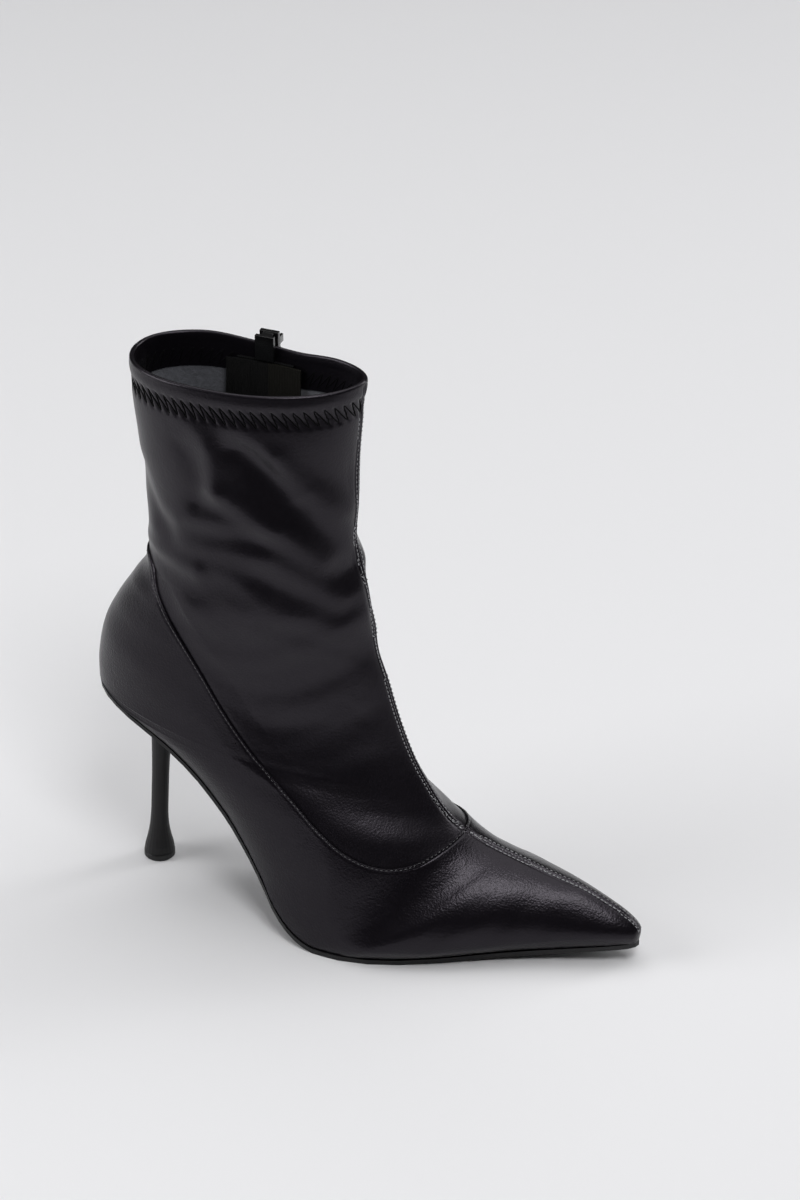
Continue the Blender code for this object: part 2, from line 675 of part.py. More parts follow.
# Zip: tape and guard follow the inside of the wall, the coil lies in the slot.
tape_out = -WALL - GAP
tape = last_form("zip_tape", tape_out, 4.0, 4.0, shoe, COLUMNS_INSIDE)
tape_back = last_form("tape_back", tape_out - TAPE_THICK, 8.0, 8.0, tools, COLUMNS_INSIDE)
boolean(tape, tape_back, "DIFFERENCE")
tape_window = zip_window("tape_window", ZIP_TAPE, ZIP_Z_LOW - 5.0, ZIP_Z_STOP, False, tools)
boolean(tape, tape_window, "INTERSECT")
tidy(tape)
guard_out = tape_out - TAPE_THICK - GAP
guard = last_form("zip_guard", guard_out, 4.0, 4.0, shoe, COLUMNS_INSIDE)
guard_back = last_form("guard_back", guard_out - GUARD_THICK, 8.0, 8.0, tools, COLUMNS_INSIDE)
boolean(guard, guard_back, "DIFFERENCE")
guard_window = zip_window("guard_window", ZIP_GUARD, ZIP_Z_LOW - 7.0, ZIP_Z_STOP - 0.6, False, tools)
boolean(guard, guard_window, "INTERSECT")
tidy(guard)
teeth = last_form("zip_teeth", -COIL_INSET, 4.0, 4.0, shoe, COLUMNS_INSIDE)
teeth_back = last_form("teeth_back", -WALL, 8.0, 8.0, tools, COLUMNS_INSIDE)
boolean(teeth, teeth_back, "DIFFERENCE")
coil_width = ZIP_SLOT - 2.0 * COIL_CLEAR
teeth_window = zip_window("teeth_window", coil_width, ZIP_Z_LOW + 0.7, ZIP_Z_STOP, True, tools)
boolean(teeth, teeth_window, "INTERSECT")
tidy(teeth)

# Slider: front and back plates joined through the slot, two lugs with a pin.
slider_x = float(zip_x(SLIDER_Z))
slider_half = 0.5 * SLIDER_PLATE[2]
walls = [medial_wall(SLIDER_Z + up) for up in (-slider_half, 0.0, slider_half)]
wall_y = max(walls)
wall_in = min(walls) - WALL
front_y = wall_y + 0.4 + 0.5 * SLIDER_PLATE[1]
slider = block("zip_slider", (slider_x, front_y, SLIDER_Z), SLIDER_PLATE, shoe)
bridge_size = (SLIDER_BRIDGE[0], wall_y - wall_in + SLIDER_BRIDGE[1], SLIDER_BRIDGE[2])
bridge = block("slider_bridge", (slider_x, 0.5 * (wall_y + wall_in), SLIDER_Z), bridge_size, tools)
back_y = wall_in - 0.6 - 0.5 * SLIDER_BACK[1]
back_plate = block("slider_back", (slider_x, back_y, SLIDER_Z), SLIDER_BACK, tools)
boolean(slider, bridge, "UNION")
boolean(slider, back_plate, "UNION")
pin_y = wall_y + PIN_OUT
pin_z = SLIDER_Z + PIN_UP
for hand in (-1.0, 1.0):
    lug = block("lug", (slider_x + hand * LUG_APART, wall_y + LUG_OUT, pin_z), LUG, tools)
    boolean(slider, lug, "UNION")
pin = rod("pin", (slider_x, pin_y, pin_z), PIN_RADIUS, 2.0 * LUG_APART - 0.4, tools, 16)
boolean(slider, pin, "UNION")
tidy(slider)

# Pull tab: narrow eye on the pin, widening plate with a raised upper part.
pull_right = [(slider_x + x, pin_z + z) for x, z in PULL_ROWS[::-1]]
pull_left = [(slider_x - x, pin_z + z) for x, z in PULL_ROWS]
pull_side = pull_left + pull_right
pull = prism("zip_pull", pull_side, pull_side, pin_y - 0.5 * PULL_THICK, pin_y + 0.5 * PULL_THICK, shoe)
eye = rod("eye", (slider_x, pin_y, pin_z), EYE_RADIUS, EYE_LENGTH, tools)
boolean(pull, eye, "UNION")
raised_left = [(slider_x - x, pin_z + z) for x, z in RAISED_ROWS]
raised_right = [(slider_x + x, pin_z + z) for x, z in RAISED_ROWS[::-1]]
raised_side = raised_left + raised_right
raised = prism("raised", raised_side, raised_side, pin_y, pin_y + RAISED_OUT, tools)
boolean(pull, raised, "UNION")
bore = rod("bore", (slider_x, pin_y, pin_z), BORE_RADIUS, 8.0, tools, 16)
boolean(pull, bore, "DIFFERENCE")
tidy(pull)

black = (0.022, 0.021, 0.024)
paint(upper, "upper", black, 0.45)
paint(outsole, "outsole", (0.012, 0.012, 0.013), 0.6)
paint(insole, "insole", (0.03, 0.03, 0.032), 0.8)
paint(heel, "heel", (0.014, 0.014, 0.015), 0.5)
paint(heel_tip, "heel_tip", (0.012, 0.012, 0.012), 0.6)
paint(tape, "zip_tape", (0.02, 0.02, 0.02), 0.9)
paint(guard, "zip_guard", (0.016, 0.014, 0.01), 0.6)
paint(teeth, "zip_teeth", (0.02, 0.02, 0.02), 0.4)
paint(slider, "zip_slider", (0.03, 0.03, 0.03), 0.3, 1.0)
paint(pull, "zip_pull", (0.03, 0.03, 0.03), 0.3, 1.0)

# Metres, and the middle of the whole shoe's plan at the origin.
nodes = (upper, outsole, insole, heel, heel_tip, tape, guard, teeth, slider, pull)
corners = np.array([tuple(v.co) for obj in nodes for v in obj.data.vertices])
low = corners.min(axis=0)
high = corners.max(axis=0)
shift = np.array((0.5 * (low[0] + high[0]), 0.5 * (low[1] + high[1]), low[2]))
for obj in list(shoe.objects) + list(tools.objects):
    for vertex in obj.data.vertices:
        vertex.co = [(value - away) * MM for value, away in zip(vertex.co, shift)]
    obj.data.update()

# The pull's origin lies on its pin, where it swings.
pull.location = [(value - away) * MM for value, away in zip((slider_x, pin_y, pin_z), shift)]
for vertex in pull.data.vertices:
    vertex.co = vertex.co - pull.location
for obj in tools.objects:
    obj.hide_render = True
    obj.display_type = "WIRE"
for obj in nodes:
    bpy.context.view_layer.objects.active = obj
    bpy.ops.object.select_all(action="DESELECT")
    obj.select_set(True)
    bpy.ops.object.shade_smooth()
    obj.data.set_sharp_from_angle(angle=math.radians(SHARP_DEGREES))
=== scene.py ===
import math

import bpy
import numpy as np
from mathutils import Matrix, Vector
from mathutils.bvhtree import BVHTree
from mathutils.kdtree import KDTree


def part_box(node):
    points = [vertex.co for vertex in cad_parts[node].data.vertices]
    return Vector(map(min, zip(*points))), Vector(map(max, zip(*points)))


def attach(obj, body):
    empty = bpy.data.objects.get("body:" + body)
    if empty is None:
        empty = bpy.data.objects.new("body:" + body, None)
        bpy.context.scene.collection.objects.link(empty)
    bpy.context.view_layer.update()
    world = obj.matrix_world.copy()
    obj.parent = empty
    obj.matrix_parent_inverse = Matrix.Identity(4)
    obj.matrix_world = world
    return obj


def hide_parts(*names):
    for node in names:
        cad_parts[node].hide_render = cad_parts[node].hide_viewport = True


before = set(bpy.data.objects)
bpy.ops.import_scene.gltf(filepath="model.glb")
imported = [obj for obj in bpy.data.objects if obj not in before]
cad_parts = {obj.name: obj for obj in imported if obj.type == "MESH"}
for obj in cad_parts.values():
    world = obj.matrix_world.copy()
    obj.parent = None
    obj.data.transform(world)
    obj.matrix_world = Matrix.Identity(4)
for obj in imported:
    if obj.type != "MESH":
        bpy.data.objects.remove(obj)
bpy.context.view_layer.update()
bpy.ops.object.select_all(action="DESELECT")

# Where the shoe stands. The last and its tables are drawn in millimetres, x from the back of the
# counter and z from the floor. The heel's top piece stands at x = 24, y = 0.
HEEL_X = 24.0
tip_low, tip_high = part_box("heel_tip")
tip_middle = 500.0 * (np.array(tip_low) + np.array(tip_high))
origin = np.array((HEEL_X - tip_middle[0], -tip_middle[1], 0.0))


def metres(points):
    """Millimetres on the last to metres in the shoe's frame."""
    return (np.asarray(points, float) - origin) * 0.001


# The view: the outer side, turned a little to the toe and seen from above, through a long lens.
# The middle of the heel's top piece lies at a known place of an 800 by 1200 frame.
AZIMUTH, ELEVATION, DISTANCE = math.radians(21.5), math.radians(31.5), 1.760
LENS, SENSOR = 120.9, 36.0
FRAME_WIDE, FRAME_HIGH, HEEL_ACROSS, HEEL_DOWN = 800.0, 1200.0, 160.0, 853.0
focal = LENS / SENSOR * FRAME_HIGH
backward = Vector(
    (
        math.sin(AZIMUTH) * math.cos(ELEVATION),
        -math.cos(AZIMUTH) * math.cos(ELEVATION),
        math.sin(ELEVATION),
    )
)
rightward = Vector((math.cos(AZIMUTH), math.sin(AZIMUTH), 0.0))
upward = backward.cross(rightward)
heel_place = Vector(metres((HEEL_X, 0.0, 0.0)))
place = heel_place + backward * DISTANCE
place -= rightward * ((HEEL_ACROSS - 0.5 * FRAME_WIDE) / focal * DISTANCE)
place -= upward * ((0.5 * FRAME_HIGH - HEEL_DOWN) / focal * DISTANCE)
turned = Matrix((rightward, upward, backward)).transposed()
bpy.ops.object.camera_add()
camera = bpy.context.object
camera.data.lens = LENS
camera.data.sensor_width = SENSOR
camera.data.clip_start = 0.05
camera.data.clip_end = 60.0
camera.matrix_world = Matrix.Translation(place) @ turned.to_4x4()
bpy.context.scene.camera = camera

# The studio: a pale seamless floor, a wide soft light overhead, a tall soft box at the left and a
# narrow one behind on the right. The room itself is dim, so that the black leather keeps its darks.
def paper(piece, name, colour, shine):
    """A dull paper for one of the studio's sheets."""
    sheet = bpy.data.materials.new(name)
    sheet.use_nodes = True
    inputs = sheet.node_tree.nodes["Principled BSDF"].inputs
    inputs["Base Color"].default_value = colour
    inputs["Roughness"].default_value = 0.9
    inputs["Specular IOR Level"].default_value = shine
    piece.data.materials.append(sheet)


bpy.ops.mesh.primitive_grid_add(x_subdivisions=2, y_subdivisions=2, size=14.0)
floor = bpy.context.object
floor.name = "floor"
paper(floor, "floor_paper", (0.80, 0.80, 0.815, 1.0), 0.0)
world = bpy.data.worlds.new("studio")
world.use_nodes = True
world.node_tree.nodes["Background"].inputs["Color"].default_value = (1.0, 1.0, 1.0, 1.0)
world.node_tree.nodes["Background"].inputs["Strength"].default_value = 0.045
bpy.context.scene.world = world
LIGHT_AIM = Vector((0.0, 0.0, 0.12))
LIGHT_COLUMNS = ("name", "x", "y", "z", "wide", "high", "watts")
LIGHT_ROWS = (
    ("overhead", 0.0, 0.5, 2.4, 3.2, 2.0, 36.0),
    ("front_right_box", 0.74, -0.92, 2.0, 0.75, 0.75, 18.0),
    ("left_box", -1.9, -1.0, 1.1, 1.2, 1.3, 24.0),
    ("right_back_box", 1.3, 1.5, 0.9, 0.6, 1.4, 12.0),
)
for row in LIGHT_ROWS:
    light = dict(zip(LIGHT_COLUMNS, row))
    bpy.ops.object.light_add(type="AREA", location=(light["x"], light["y"], light["z"]))
    lamp = bpy.context.object
    lamp.name = light["name"]
    lamp.data.shape = "RECTANGLE"
    lamp.data.size = light["wide"]
    lamp.data.size_y = light["high"]
    lamp.data.energy = light["watts"]
    lamp.rotation_euler = (LIGHT_AIM - lamp.location).to_track_quat("-Z", "Y").to_euler()
bpy.context.scene.view_settings.view_transform = "Standard"

# The table ends a little way in front of the picture's lower edge. A dark card lies there, met only
# by reflections, so that the leather's upper half mirrors the dark beyond the table.
TABLE_EDGE, CARD_WIDE, CARD_DEEP, CARD_LIFT = 0.42, 5.0, 2.4, 0.002
towards = Vector((math.sin(AZIMUTH), -math.cos(AZIMUTH), 0.0))
card_middle = heel_place + towards * (TABLE_EDGE + 0.5 * CARD_DEEP) + Vector((0.0, 0.0, CARD_LIFT))
bpy.ops.mesh.primitive_grid_add(x_subdivisions=2, y_subdivisions=2, size=1.0)
card = bpy.context.object
card.name = "dark_card"
card.data.transform(
    Matrix.Translation(card_middle)
    @ Matrix.Rotation(AZIMUTH, 4, "Z")
    @ Matrix.Diagonal((CARD_WIDE, CARD_DEEP, 1.0, 1.0))
)
paper(card, "card_paper", (0.10, 0.10, 0.105, 1.0), 0.5)
card.visible_camera = False
card.visible_diffuse = False
card.visible_shadow = False

# The leg: one piece of thin stretch leather from the quarter seam up to the collar, lasted over the
# foot's form, folded over at the collar and faced 15 mm down the inside. It closes at the front and
# at the back in a seam.
# A row runs over the form from the front line (f) to the back line (b) or to the sole (lx). lat and
# med are its half widths, wide_l and wide_m the shares of the row at which they are reached, and
# pl, pm and nb say how full it is in front and behind.
LEG_COLUMNS = tuple("fx fz fy bx bz by lat med wide_l wide_m pl pm nb".split())
LEG_ROWS = (
    (120.8, 258, 6, 20, 258, 2, 29.6, 23, 0.50, 0.62, 1.85, 2.2, 2.2),
    (118.5, 235, 4.5, 21, 236, 1.5, 28.8, 23.5, 0.50, 0.60, 1.9, 2.1, 2.2),
    (117.4, 213, 3, 23.5, 214, 1, 28, 24, 0.50, 0.56, 1.9, 2, 2.2),
    (117.6, 191, 1.5, 25.5, 192, 0.5, 27.4, 25, 0.50, 0.52, 1.9, 1.9, 2.1),
    (119.6, 170, 0.8, 27, 174, 0, 27.2, 26, 0.52, 0.52, 1.8, 1.8, 2.1),
    (122.6, 150, 0.4, 26.6, 158, 0, 27.4, 26.6, 0.56, 0.56, 1.7, 1.7, 2.1),
    (126.4, 131, 0.2, 19.4, 145, 0, 27.6, 27, 0.62, 0.60, 1.65, 1.65, 2.1),
    (131.6, 113, 0.1, 11.8, 133, 0, 27.8, 27.4, 0.66, 0.64, 1.6, 1.6, 2.1),
    (136.4, 96.5, 0, 6.4, 122, 0, 28.4, 27.8, 0.66, 0.64, 1.6, 1.6, 2.15),
    (140.8, 84, 0, 3.6, 111, 0, 29, 28.2, 0.62, 0.60, 1.6, 1.6, 2.2),
    (145, 74.6, 0, 2.6, 102, 0, 29.6, 28.5, 0.56, 0.56, 1.6, 1.6, 2.3),
    (149, 67.6, 0, 2.8, 95, 0, 30.3, 29.1, 0.52, 0.52, 1.6, 1.6, 2.4),
)
FOOT_COLUMNS = tuple("fx fz fy lx lat med wide_l wide_m pl pm nb".split())
FOOT_ROWS = (
    (149, 67.6, 0, 2.8, 30.3, 29.1, 0.52, 0.52, 1.6, 1.6, 2.4),
    (153, 61.2, 0, 15, 30.7, 29.4, 0.50, 0.50, 1.6, 1.6, 2.5),
    (157.2, 55.6, 0.1, 34, 31.5, 30, 0.48, 0.48, 1.55, 1.55, 2.5),
    (161.6, 51.2, 0.2, 58, 34, 31.6, 0.48, 0.46, 1.55, 1.55, 2.4),
    (167, 47.8, 0.4, 82, 38.4, 33.6, 0.56, 0.48, 1.5, 1.55, 2.3),
    (174.4, 44.2, 0.6, 104, 42.6, 35.4, 0.74, 0.56, 1.5, 1.5, 2.2),
    (184, 40.8, 0.9, 128, 44, 36.8, 0.84, 0.74, 1.45, 1.45, 2.1),
    (195, 37.4, 1.1, 152, 37.8, 37.2, 0.84, 0.84, 1.45, 1.45, 2.1),
    (207, 33.6, 1.4, 176, 27.4, 31.8, 0.80, 0.82, 1.45, 1.45, 2.1),
    (218, 30.6, 1.7, 197, 18.6, 22.8, 0.74, 0.76, 1.45, 1.45, 2.1),
    (228, 26.2, 1.9, 214, 12.8, 15.2, 0.66, 0.68, 1.5, 1.5, 2.1),
    (235.6, 22.2, 2.1, 227, 8.8, 9.8, 0.60, 0.62, 1.6, 1.6, 2.1),
    (240.4, 18.8, 2.2, 235.5, 5.6, 5.9, 0.56, 0.56, 1.7, 1.7, 2.1),
    (242.4, 16.4, 2.3, 240.2, 3.4, 3.5, 0.52, 0.52, 1.8, 1.8, 2.1),
    (242.9, 14.4, 2.4, 242, 0, 0, 0.50, 0.50, 1.9, 1.9, 2.1),
)
# By x: the sole's half widths, outer and inner, its underside, the quarter seam's height in side
# view, and the collar's height, outer and inner.
PLAN_ROWS = (
    (1.6, 0, 0), (4, 10, 10), (9, 17, 17), (15, 21.4, 21), (24, 25.2, 24.6), (36, 26.6, 25.6),
    (52, 26.6, 25), (67, 26.8, 24.4), (77, 28.6, 24.4), (86, 32.2, 24.6), (94, 37.4, 25.2),
    (104, 41.4, 27.4), (116, 43.8, 31), (128, 44.2, 34.6), (143, 40.8, 36.6), (155, 36.2, 35.8),
    (165, 31.8, 33.6), (180, 24.6, 28.4), (195, 18.4, 22), (206, 14.8, 17.6), (217, 11.4, 13.2),
    (228, 8.2, 9.2), (236, 5.6, 6), (240.4, 3.8, 3.9), (243.4, 0, 0),
)
UNDERSIDE_ROWS = (
    (0, 93.6), (4, 92.4), (14, 89.4), (24, 85.6), (34, 80.2), (44, 73), (54, 63.8), (62, 54.4),
    (70, 43.8), (77, 33.8), (83, 25.4), (88, 18.6), (94, 11.6), (100, 6.2), (107, 2), (114, 0.2),
    (120, 0), (150, 0), (170, 0.5), (195, 2.5), (218, 5), (244, 8.2),
)
SEAM_ROWS = (
    (-12, 161), (26, 161), (31, 160.2), (34, 157.4), (37.5, 150.4), (43.6, 142), (51, 132),
    (59, 119), (68, 103.4), (76.8, 91), (87, 79.4), (101, 67.2), (114, 56), (126, 47.6),
    (136.6, 42.8), (145, 41.2), (152, 41.9), (160.5, 45.6), (168, 50.6), (174, 57),
)
RIM_ROWS = (
    (-20, 249.5, 249.5),
    (40, 250, 249.6),
    (60, 250.5, 248),
    (82, 250.5, 246.4),
    (102, 250.5, 248.6),
    (140, 250.5, 250.5),
)
GAP = 0.3
COLLAR_ROW = 1.4
TURN_LAST = len(LEG_ROWS) - 1
ROW_TIP = len(LEG_ROWS) + len(FOOT_ROWS) - 2
LEG_KEYS = dict(zip(LEG_COLUMNS, np.array(LEG_ROWS).T))
FOOT_KEYS = dict(zip(FOOT_COLUMNS, np.array(FOOT_ROWS).T))


def smooth(xs, ys, x):
    """Smooth line through a table that never overshoots its points."""
    xs = np.asarray(xs, float)
    ys = np.asarray(ys, float)
    x = np.asarray(x, float)
    step = np.diff(xs)
    slope = np.diff(ys) / step
    lean = np.zeros_like(ys)
    product = slope[:-1] * slope[1:]
    total = slope[:-1] + slope[1:]
    total = np.where(np.abs(total) < 1e-12, 1.0, total)
    lean[1:-1] = np.where(product > 0.0, 2.0 * product / total, 0.0)
    lean[0] = slope[0]
    lean[-1] = slope[-1]
    i = np.clip(np.searchsorted(xs, x) - 1, 0, len(xs) - 2)
    t = np.clip((x - xs[i]) / step[i], 0.0, 1.0)
    near = (1.0 + 2.0 * t) * (1.0 - t) ** 2 * ys[i] + t * (1.0 - t) ** 2 * step[i] * lean[i]
    far = t**2 * (3.0 - 2.0 * t) * ys[i + 1] + t**2 * (t - 1.0) * step[i] * lean[i + 1]
    return near + far


def eased(t):
    """From 0 to 1 with a soft start and a soft end."""
    t = np.clip(t, 0.0, 1.0)
    return t**2 * (3.0 - 2.0 * t)


def form_keys(name):
    """One column of the form's tables, the leg's rows and then the foot's."""
    return np.concatenate((LEG_KEYS[name], FOOT_KEYS[name][1:]))


def read_off(rows, x, side=-1, power=1):
    """A smooth reading at x of a table by x, in its column for the outer or the inner side."""
    rows = np.array(rows)
    return smooth(rows[:, 0], rows[:, 1 if side < 0 else 2] ** power, x)


def plan(x, side):
    """Half width of the sole at x."""
    return np.sqrt(np.maximum(read_off(PLAN_ROWS, x, side, 2), 0.0))


def plan_axis(x):
    """The sole's middle line drifts to the inner side towards the tip."""
    return np.interp(x, (150.0, 244.0), (0.0, 2.4))


def feather(x):
    """Height of the upper's lower edge: the sole's underside, its thickness and one gap."""
    base_x = np.linspace(-6.0, 250.0, 513)
    base_z = read_off(UNDERSIDE_ROWS, base_x)
    base_z = np.where(base_x < 0.0, UNDERSIDE_ROWS[0][1] - 0.3 * base_x, base_z)
    slope = np.gradient(base_z, base_x)
    root = np.sqrt(1.0 + slope**2)
    amount = np.interp(base_x, (90.0, 112.0), (1.6, 2.2)) + GAP
    return np.interp(x, base_x - amount * slope / root, base_z + amount / root)


def inset(w, amount):
    """A half width brought in by an amount, easing to nothing where the form closes."""
    return np.maximum(w * (1.0 - amount / np.maximum(w, 5.5)), 0.0)


def crest_line(s):
    """Front centre line of the form at row number s."""
    rows = np.arange(ROW_TIP + 1)
    return tuple(smooth(rows, form_keys(name), s) for name in ("fx", "fy", "fz"))


def back_line(s):
    """Back centre line of the form at row number s, from the collar to the seat."""
    rows = np.arange(TURN_LAST + 1)
    s = np.clip(s, 0.0, TURN_LAST)
    return tuple(smooth(rows, LEG_KEYS[name], s) for name in ("bx", "by", "bz"))


BEND_FIRST, VAMP_ROW, BEND_LAST = 11.5, 14.76, 19.2
BEND_TURNS = (0.0, 0.1, 0.2, 0.3, 0.4, 0.5, 0.6, 0.9, 1.3, 1.7, 2.0)
BEND_AHEAD = (0.0, 0.13, 0.34, 0.56, 0.75, 0.86, 0.88, 0.74, 0.38, 0.08, 0.0)


def bend(s, turn):
    """Rows drawn ahead beside the crest near the vamp point, so that each meets the seam once."""
    ahead = smooth(BEND_TURNS, BEND_AHEAD, np.clip(turn, 0.0, 2.0))
    rising = (s - BEND_FIRST) / (VAMP_ROW - BEND_FIRST)
    falling = (BEND_LAST - s) / (BEND_LAST - VAMP_ROW)
    return s + ahead * eased(np.minimum(rising, falling))


def pushed(line, s, grow):
    """A centre line's places at row s, moved out square to it in side view."""
    tiny = 0.01
    x, y, z = line(s)
    ahead_x, _, ahead_z = line(s + tiny)
    behind_x, _, behind_z = line(s - tiny)
    along_x, along_z = ahead_x - behind_x, ahead_z - behind_z
    run = np.maximum(np.hypot(along_x, along_z), 1e-9)
    return x - grow * along_z / run, y, z + grow * along_x / run


SEAT_LONG, TIP_FROM, TIP_LONG, TIP_MORE = 22.0, 170.0, 72.0, 1.25


def skin(s, turn, side, grow):
    """Points on the form at row s. turn is 0 at the crest, 1 at the widest, 2 at the low end."""
    s = bend(np.asarray(s, float), turn)
    rows = np.arange(ROW_TIP + 1)

    def key(name, power=1.0):
        return np.maximum(smooth(rows, form_keys(name) ** power, s), 0.0) ** (1.0 / power)

    fx, fy, fz = pushed(crest_line, s, grow)
    bx, by, bz = pushed(back_line, s, -grow)
    seat_x = LEG_KEYS["bx"][-1] - grow
    ease = eased((s - (TURN_LAST - 0.5)) / 0.5)
    bx = bx + (seat_x - bx) * ease
    bz = bz + (feather(seat_x) - bz) * ease
    lx_keys = FOOT_KEYS["lx"]
    lx = smooth(np.arange(len(FOOT_ROWS)), lx_keys, np.maximum(s - TURN_LAST, 0.0))
    edge = lx - grow * np.clip(1.0 - (lx - lx_keys[0]) / SEAT_LONG, 0.0, 1.0) ** 2
    edge = edge + grow * TIP_MORE * np.clip((lx - TIP_FROM) / TIP_LONG, 0.0, 1.0) ** 2
    foot = s > TURN_LAST
    low_x = np.where(foot, edge, bx)
    low_y = np.where(foot, plan_axis(lx), by)
    low_z = np.where(foot, feather(edge), bz)
    tread = np.interp(lx, (90.0, 120.0, 243.0), (1.2, 1.7, 1.5))
    from_seat = np.clip(1.0 - (lx - lx_keys[0]) / 20.0, 0.0, 1.0)
    at_plan = lx - (lx_keys[0] - PLAN_ROWS[0][0]) * from_seat
    end = plan(at_plan, side)
    end = np.where(foot & (s < ROW_TIP - 1e-6), inset(end, tread - grow), 0.0)
    w = inset(key("lat" if side < 0 else "med", 2.0), -grow)
    wide = key("wide_l" if side < 0 else "wide_m")
    p = key("pl" if side < 0 else "pm")
    n = key("nb")
    end = np.minimum(end, 0.9995 * w)
    safe = np.maximum(w, 1e-6)
    last = np.arccos(np.clip((end / safe) ** (0.5 * n), 0.0, 1.0))
    upper_turn = 0.5 * math.pi * np.clip(turn, 0.0, 1.0)
    front_c = wide * (1.0 - np.cos(upper_turn) ** (2.0 / p))
    front_w = w * np.sin(upper_turn) ** (2.0 / p)
    lower_turn = last * np.clip(turn - 1.0, 0.0, 1.0)
    reach = np.sin(lower_turn) ** (2.0 / n) / np.maximum(np.sin(last) ** (2.0 / n), 1e-9)
    low_c = wide + (1.0 - wide) * reach
    low_w = w * np.maximum(np.cos(lower_turn), 0.0) ** (2.0 / n)
    low_w = np.where(turn >= 2.0, end, low_w)
    c = np.where(turn < 1.0, front_c, low_c)
    half = np.where(turn < 1.0, front_w, low_w)
    x = fx + (low_x - fx) * c
    y = fy + (low_y - fy) * c + side * half
    z = fz + (low_z - fz) * c
    x, y, z = np.broadcast_arrays(x, y, z)
    return np.stack((x, y, z), -1)


def seam_turn(s, side):
    """Where the quarter seam crosses row s: 2 above the counter, 0 in front of the vamp point."""
    dense = np.linspace(0.0, 2.0, 201)
    points = skin(s[:, None], dense, side, 0.0)
    over = points[..., 2] - read_off(SEAM_ROWS, points[..., 0])
    over = np.where(points[..., 0] > SEAM_ROWS[-1][0], -1.0, over)
    found = np.full(len(points), 2.0)
    for i, line in enumerate(over):
        below = np.nonzero(line < 0.0)[0]
        if len(below) == 0:
            continue
        j = below[0]
        if j == 0:
            found[i] = 0.0
        else:
            share = line[j - 1] / (line[j - 1] - line[j])
            found[i] = dense[j - 1] + (dense[j] - dense[j - 1]) * share
    return found


def run_along(line):
    """Length run from a line's start to each of its points."""
    return np.concatenate(((0.0,), np.cumsum(np.linalg.norm(np.diff(line, axis=0), axis=1))))


def spread(s, side, grow, first, last, places):
    """Turns at the wanted places along each row. places is given the row's length in mm."""
    share = np.linspace(0.0, 1.0, 161)
    dense = first[:, None] + (last - first)[:, None] * share
    points = skin(s[:, None], dense, side, grow)
    turns = []
    for line, along in zip(points, dense):
        run = run_along(line)
        turns.append(np.interp(places(run[-1]), run, along))
    return np.array(turns)


def new_piece(name, points, faces):
    """A piece whose mesh is drawn point by point, in millimetres, and smoothly shaded."""
    bpy.ops.mesh.primitive_grid_add(x_subdivisions=2, y_subdivisions=2, size=1.0)
    piece = bpy.context.object
    piece.name = name
    mesh = bpy.data.meshes.new(name)
    mesh.from_pydata(metres(points).tolist(), [], faces)
    piece.data = mesh
    bpy.ops.object.shade_smooth()
    return piece


def leather_grid(name, halves):
    """One sheet from a lateral and a medial grid of points, merged where they meet."""
    points = []
    faces = []
    for side, grid in halves:
        rows, columns = grid.shape[:2]
        index = np.arange(rows * columns).reshape(rows, columns) + sum(len(p) for p in points)
        points.append(grid.reshape(-1, 3))
        quads = np.stack((index[:-1, :-1], index[1:, :-1], index[1:, 1:], index[:-1, 1:]), -1)
        quads = quads.reshape(-1, 4)
        faces.append(quads if side > 0 else quads[:, ::-1])
    sheet = new_piece(name, np.concatenate(points), np.concatenate(faces).tolist())
    bpy.ops.object.mode_set(mode="EDIT")
    bpy.ops.mesh.select_all(action="SELECT")
    bpy.ops.mesh.remove_doubles(threshold=0.00004)
    bpy.ops.mesh.dissolve_degenerate(threshold=0.00002)
    bpy.ops.mesh.delete_loose()
    bpy.ops.object.mode_set(mode="OBJECT")
    return sheet


def corners(sheet):
    """A mesh's corner points in millimetres on the last, and its outward directions."""
    count = len(sheet.data.vertices)
    co = np.zeros(count * 3)
    sheet.data.vertices.foreach_get("co", co)
    out = np.zeros(count * 3)
    sheet.data.vertex_normals.foreach_get("vector", out)
    return co.reshape(-1, 3) * 1000.0 + origin, out.reshape(-1, 3)


def shape(sheet, points):
    """Put a mesh's corners at new points in millimetres."""
    sheet.data.vertices.foreach_set("co", metres(points).ravel())
    sheet.data.update()


def distance(points, line):
    """Distance of each point to a line of straight pieces."""
    line = np.asarray(line, float)
    if line.shape[1] == 2:
        line = np.insert(line, 1, 0.0, axis=1)
        points = np.stack((points[:, 0], np.zeros(len(points)), points[:, 2]), -1)
    tree = KDTree(len(line))
    for k, spot in enumerate(line):
        tree.insert(spot, k)
    tree.balance()
    nearest = np.array([tree.find(point)[1] for point in points])
    best = np.full(len(points), 1e9)
    for first in (nearest - 1, nearest):
        first = np.clip(first, 0, len(line) - 2)
        step = line[first + 1] - line[first]
        t = ((points - line[first]) * step).sum(1) / np.maximum((step**2).sum(1), 1e-12)
        foot = line[first] + np.clip(t, 0.0, 1.0)[:, None] * step
        best = np.minimum(best, np.linalg.norm(points - foot, axis=1))
    return best


def rim_row(turn, side, down):
    """Row number at which the collar's edge, or a line some way below it, crosses each turn."""
    dense = np.linspace(0.0, 1.6, 161)
    points = skin(dense[:, None], turn, side, 0.0)
    over = points[..., 2] - read_off(RIM_ROWS, points[..., 0], side) + down
    return np.array([np.interp(0.0, -over[:, j], dense) for j in range(over.shape[1])])


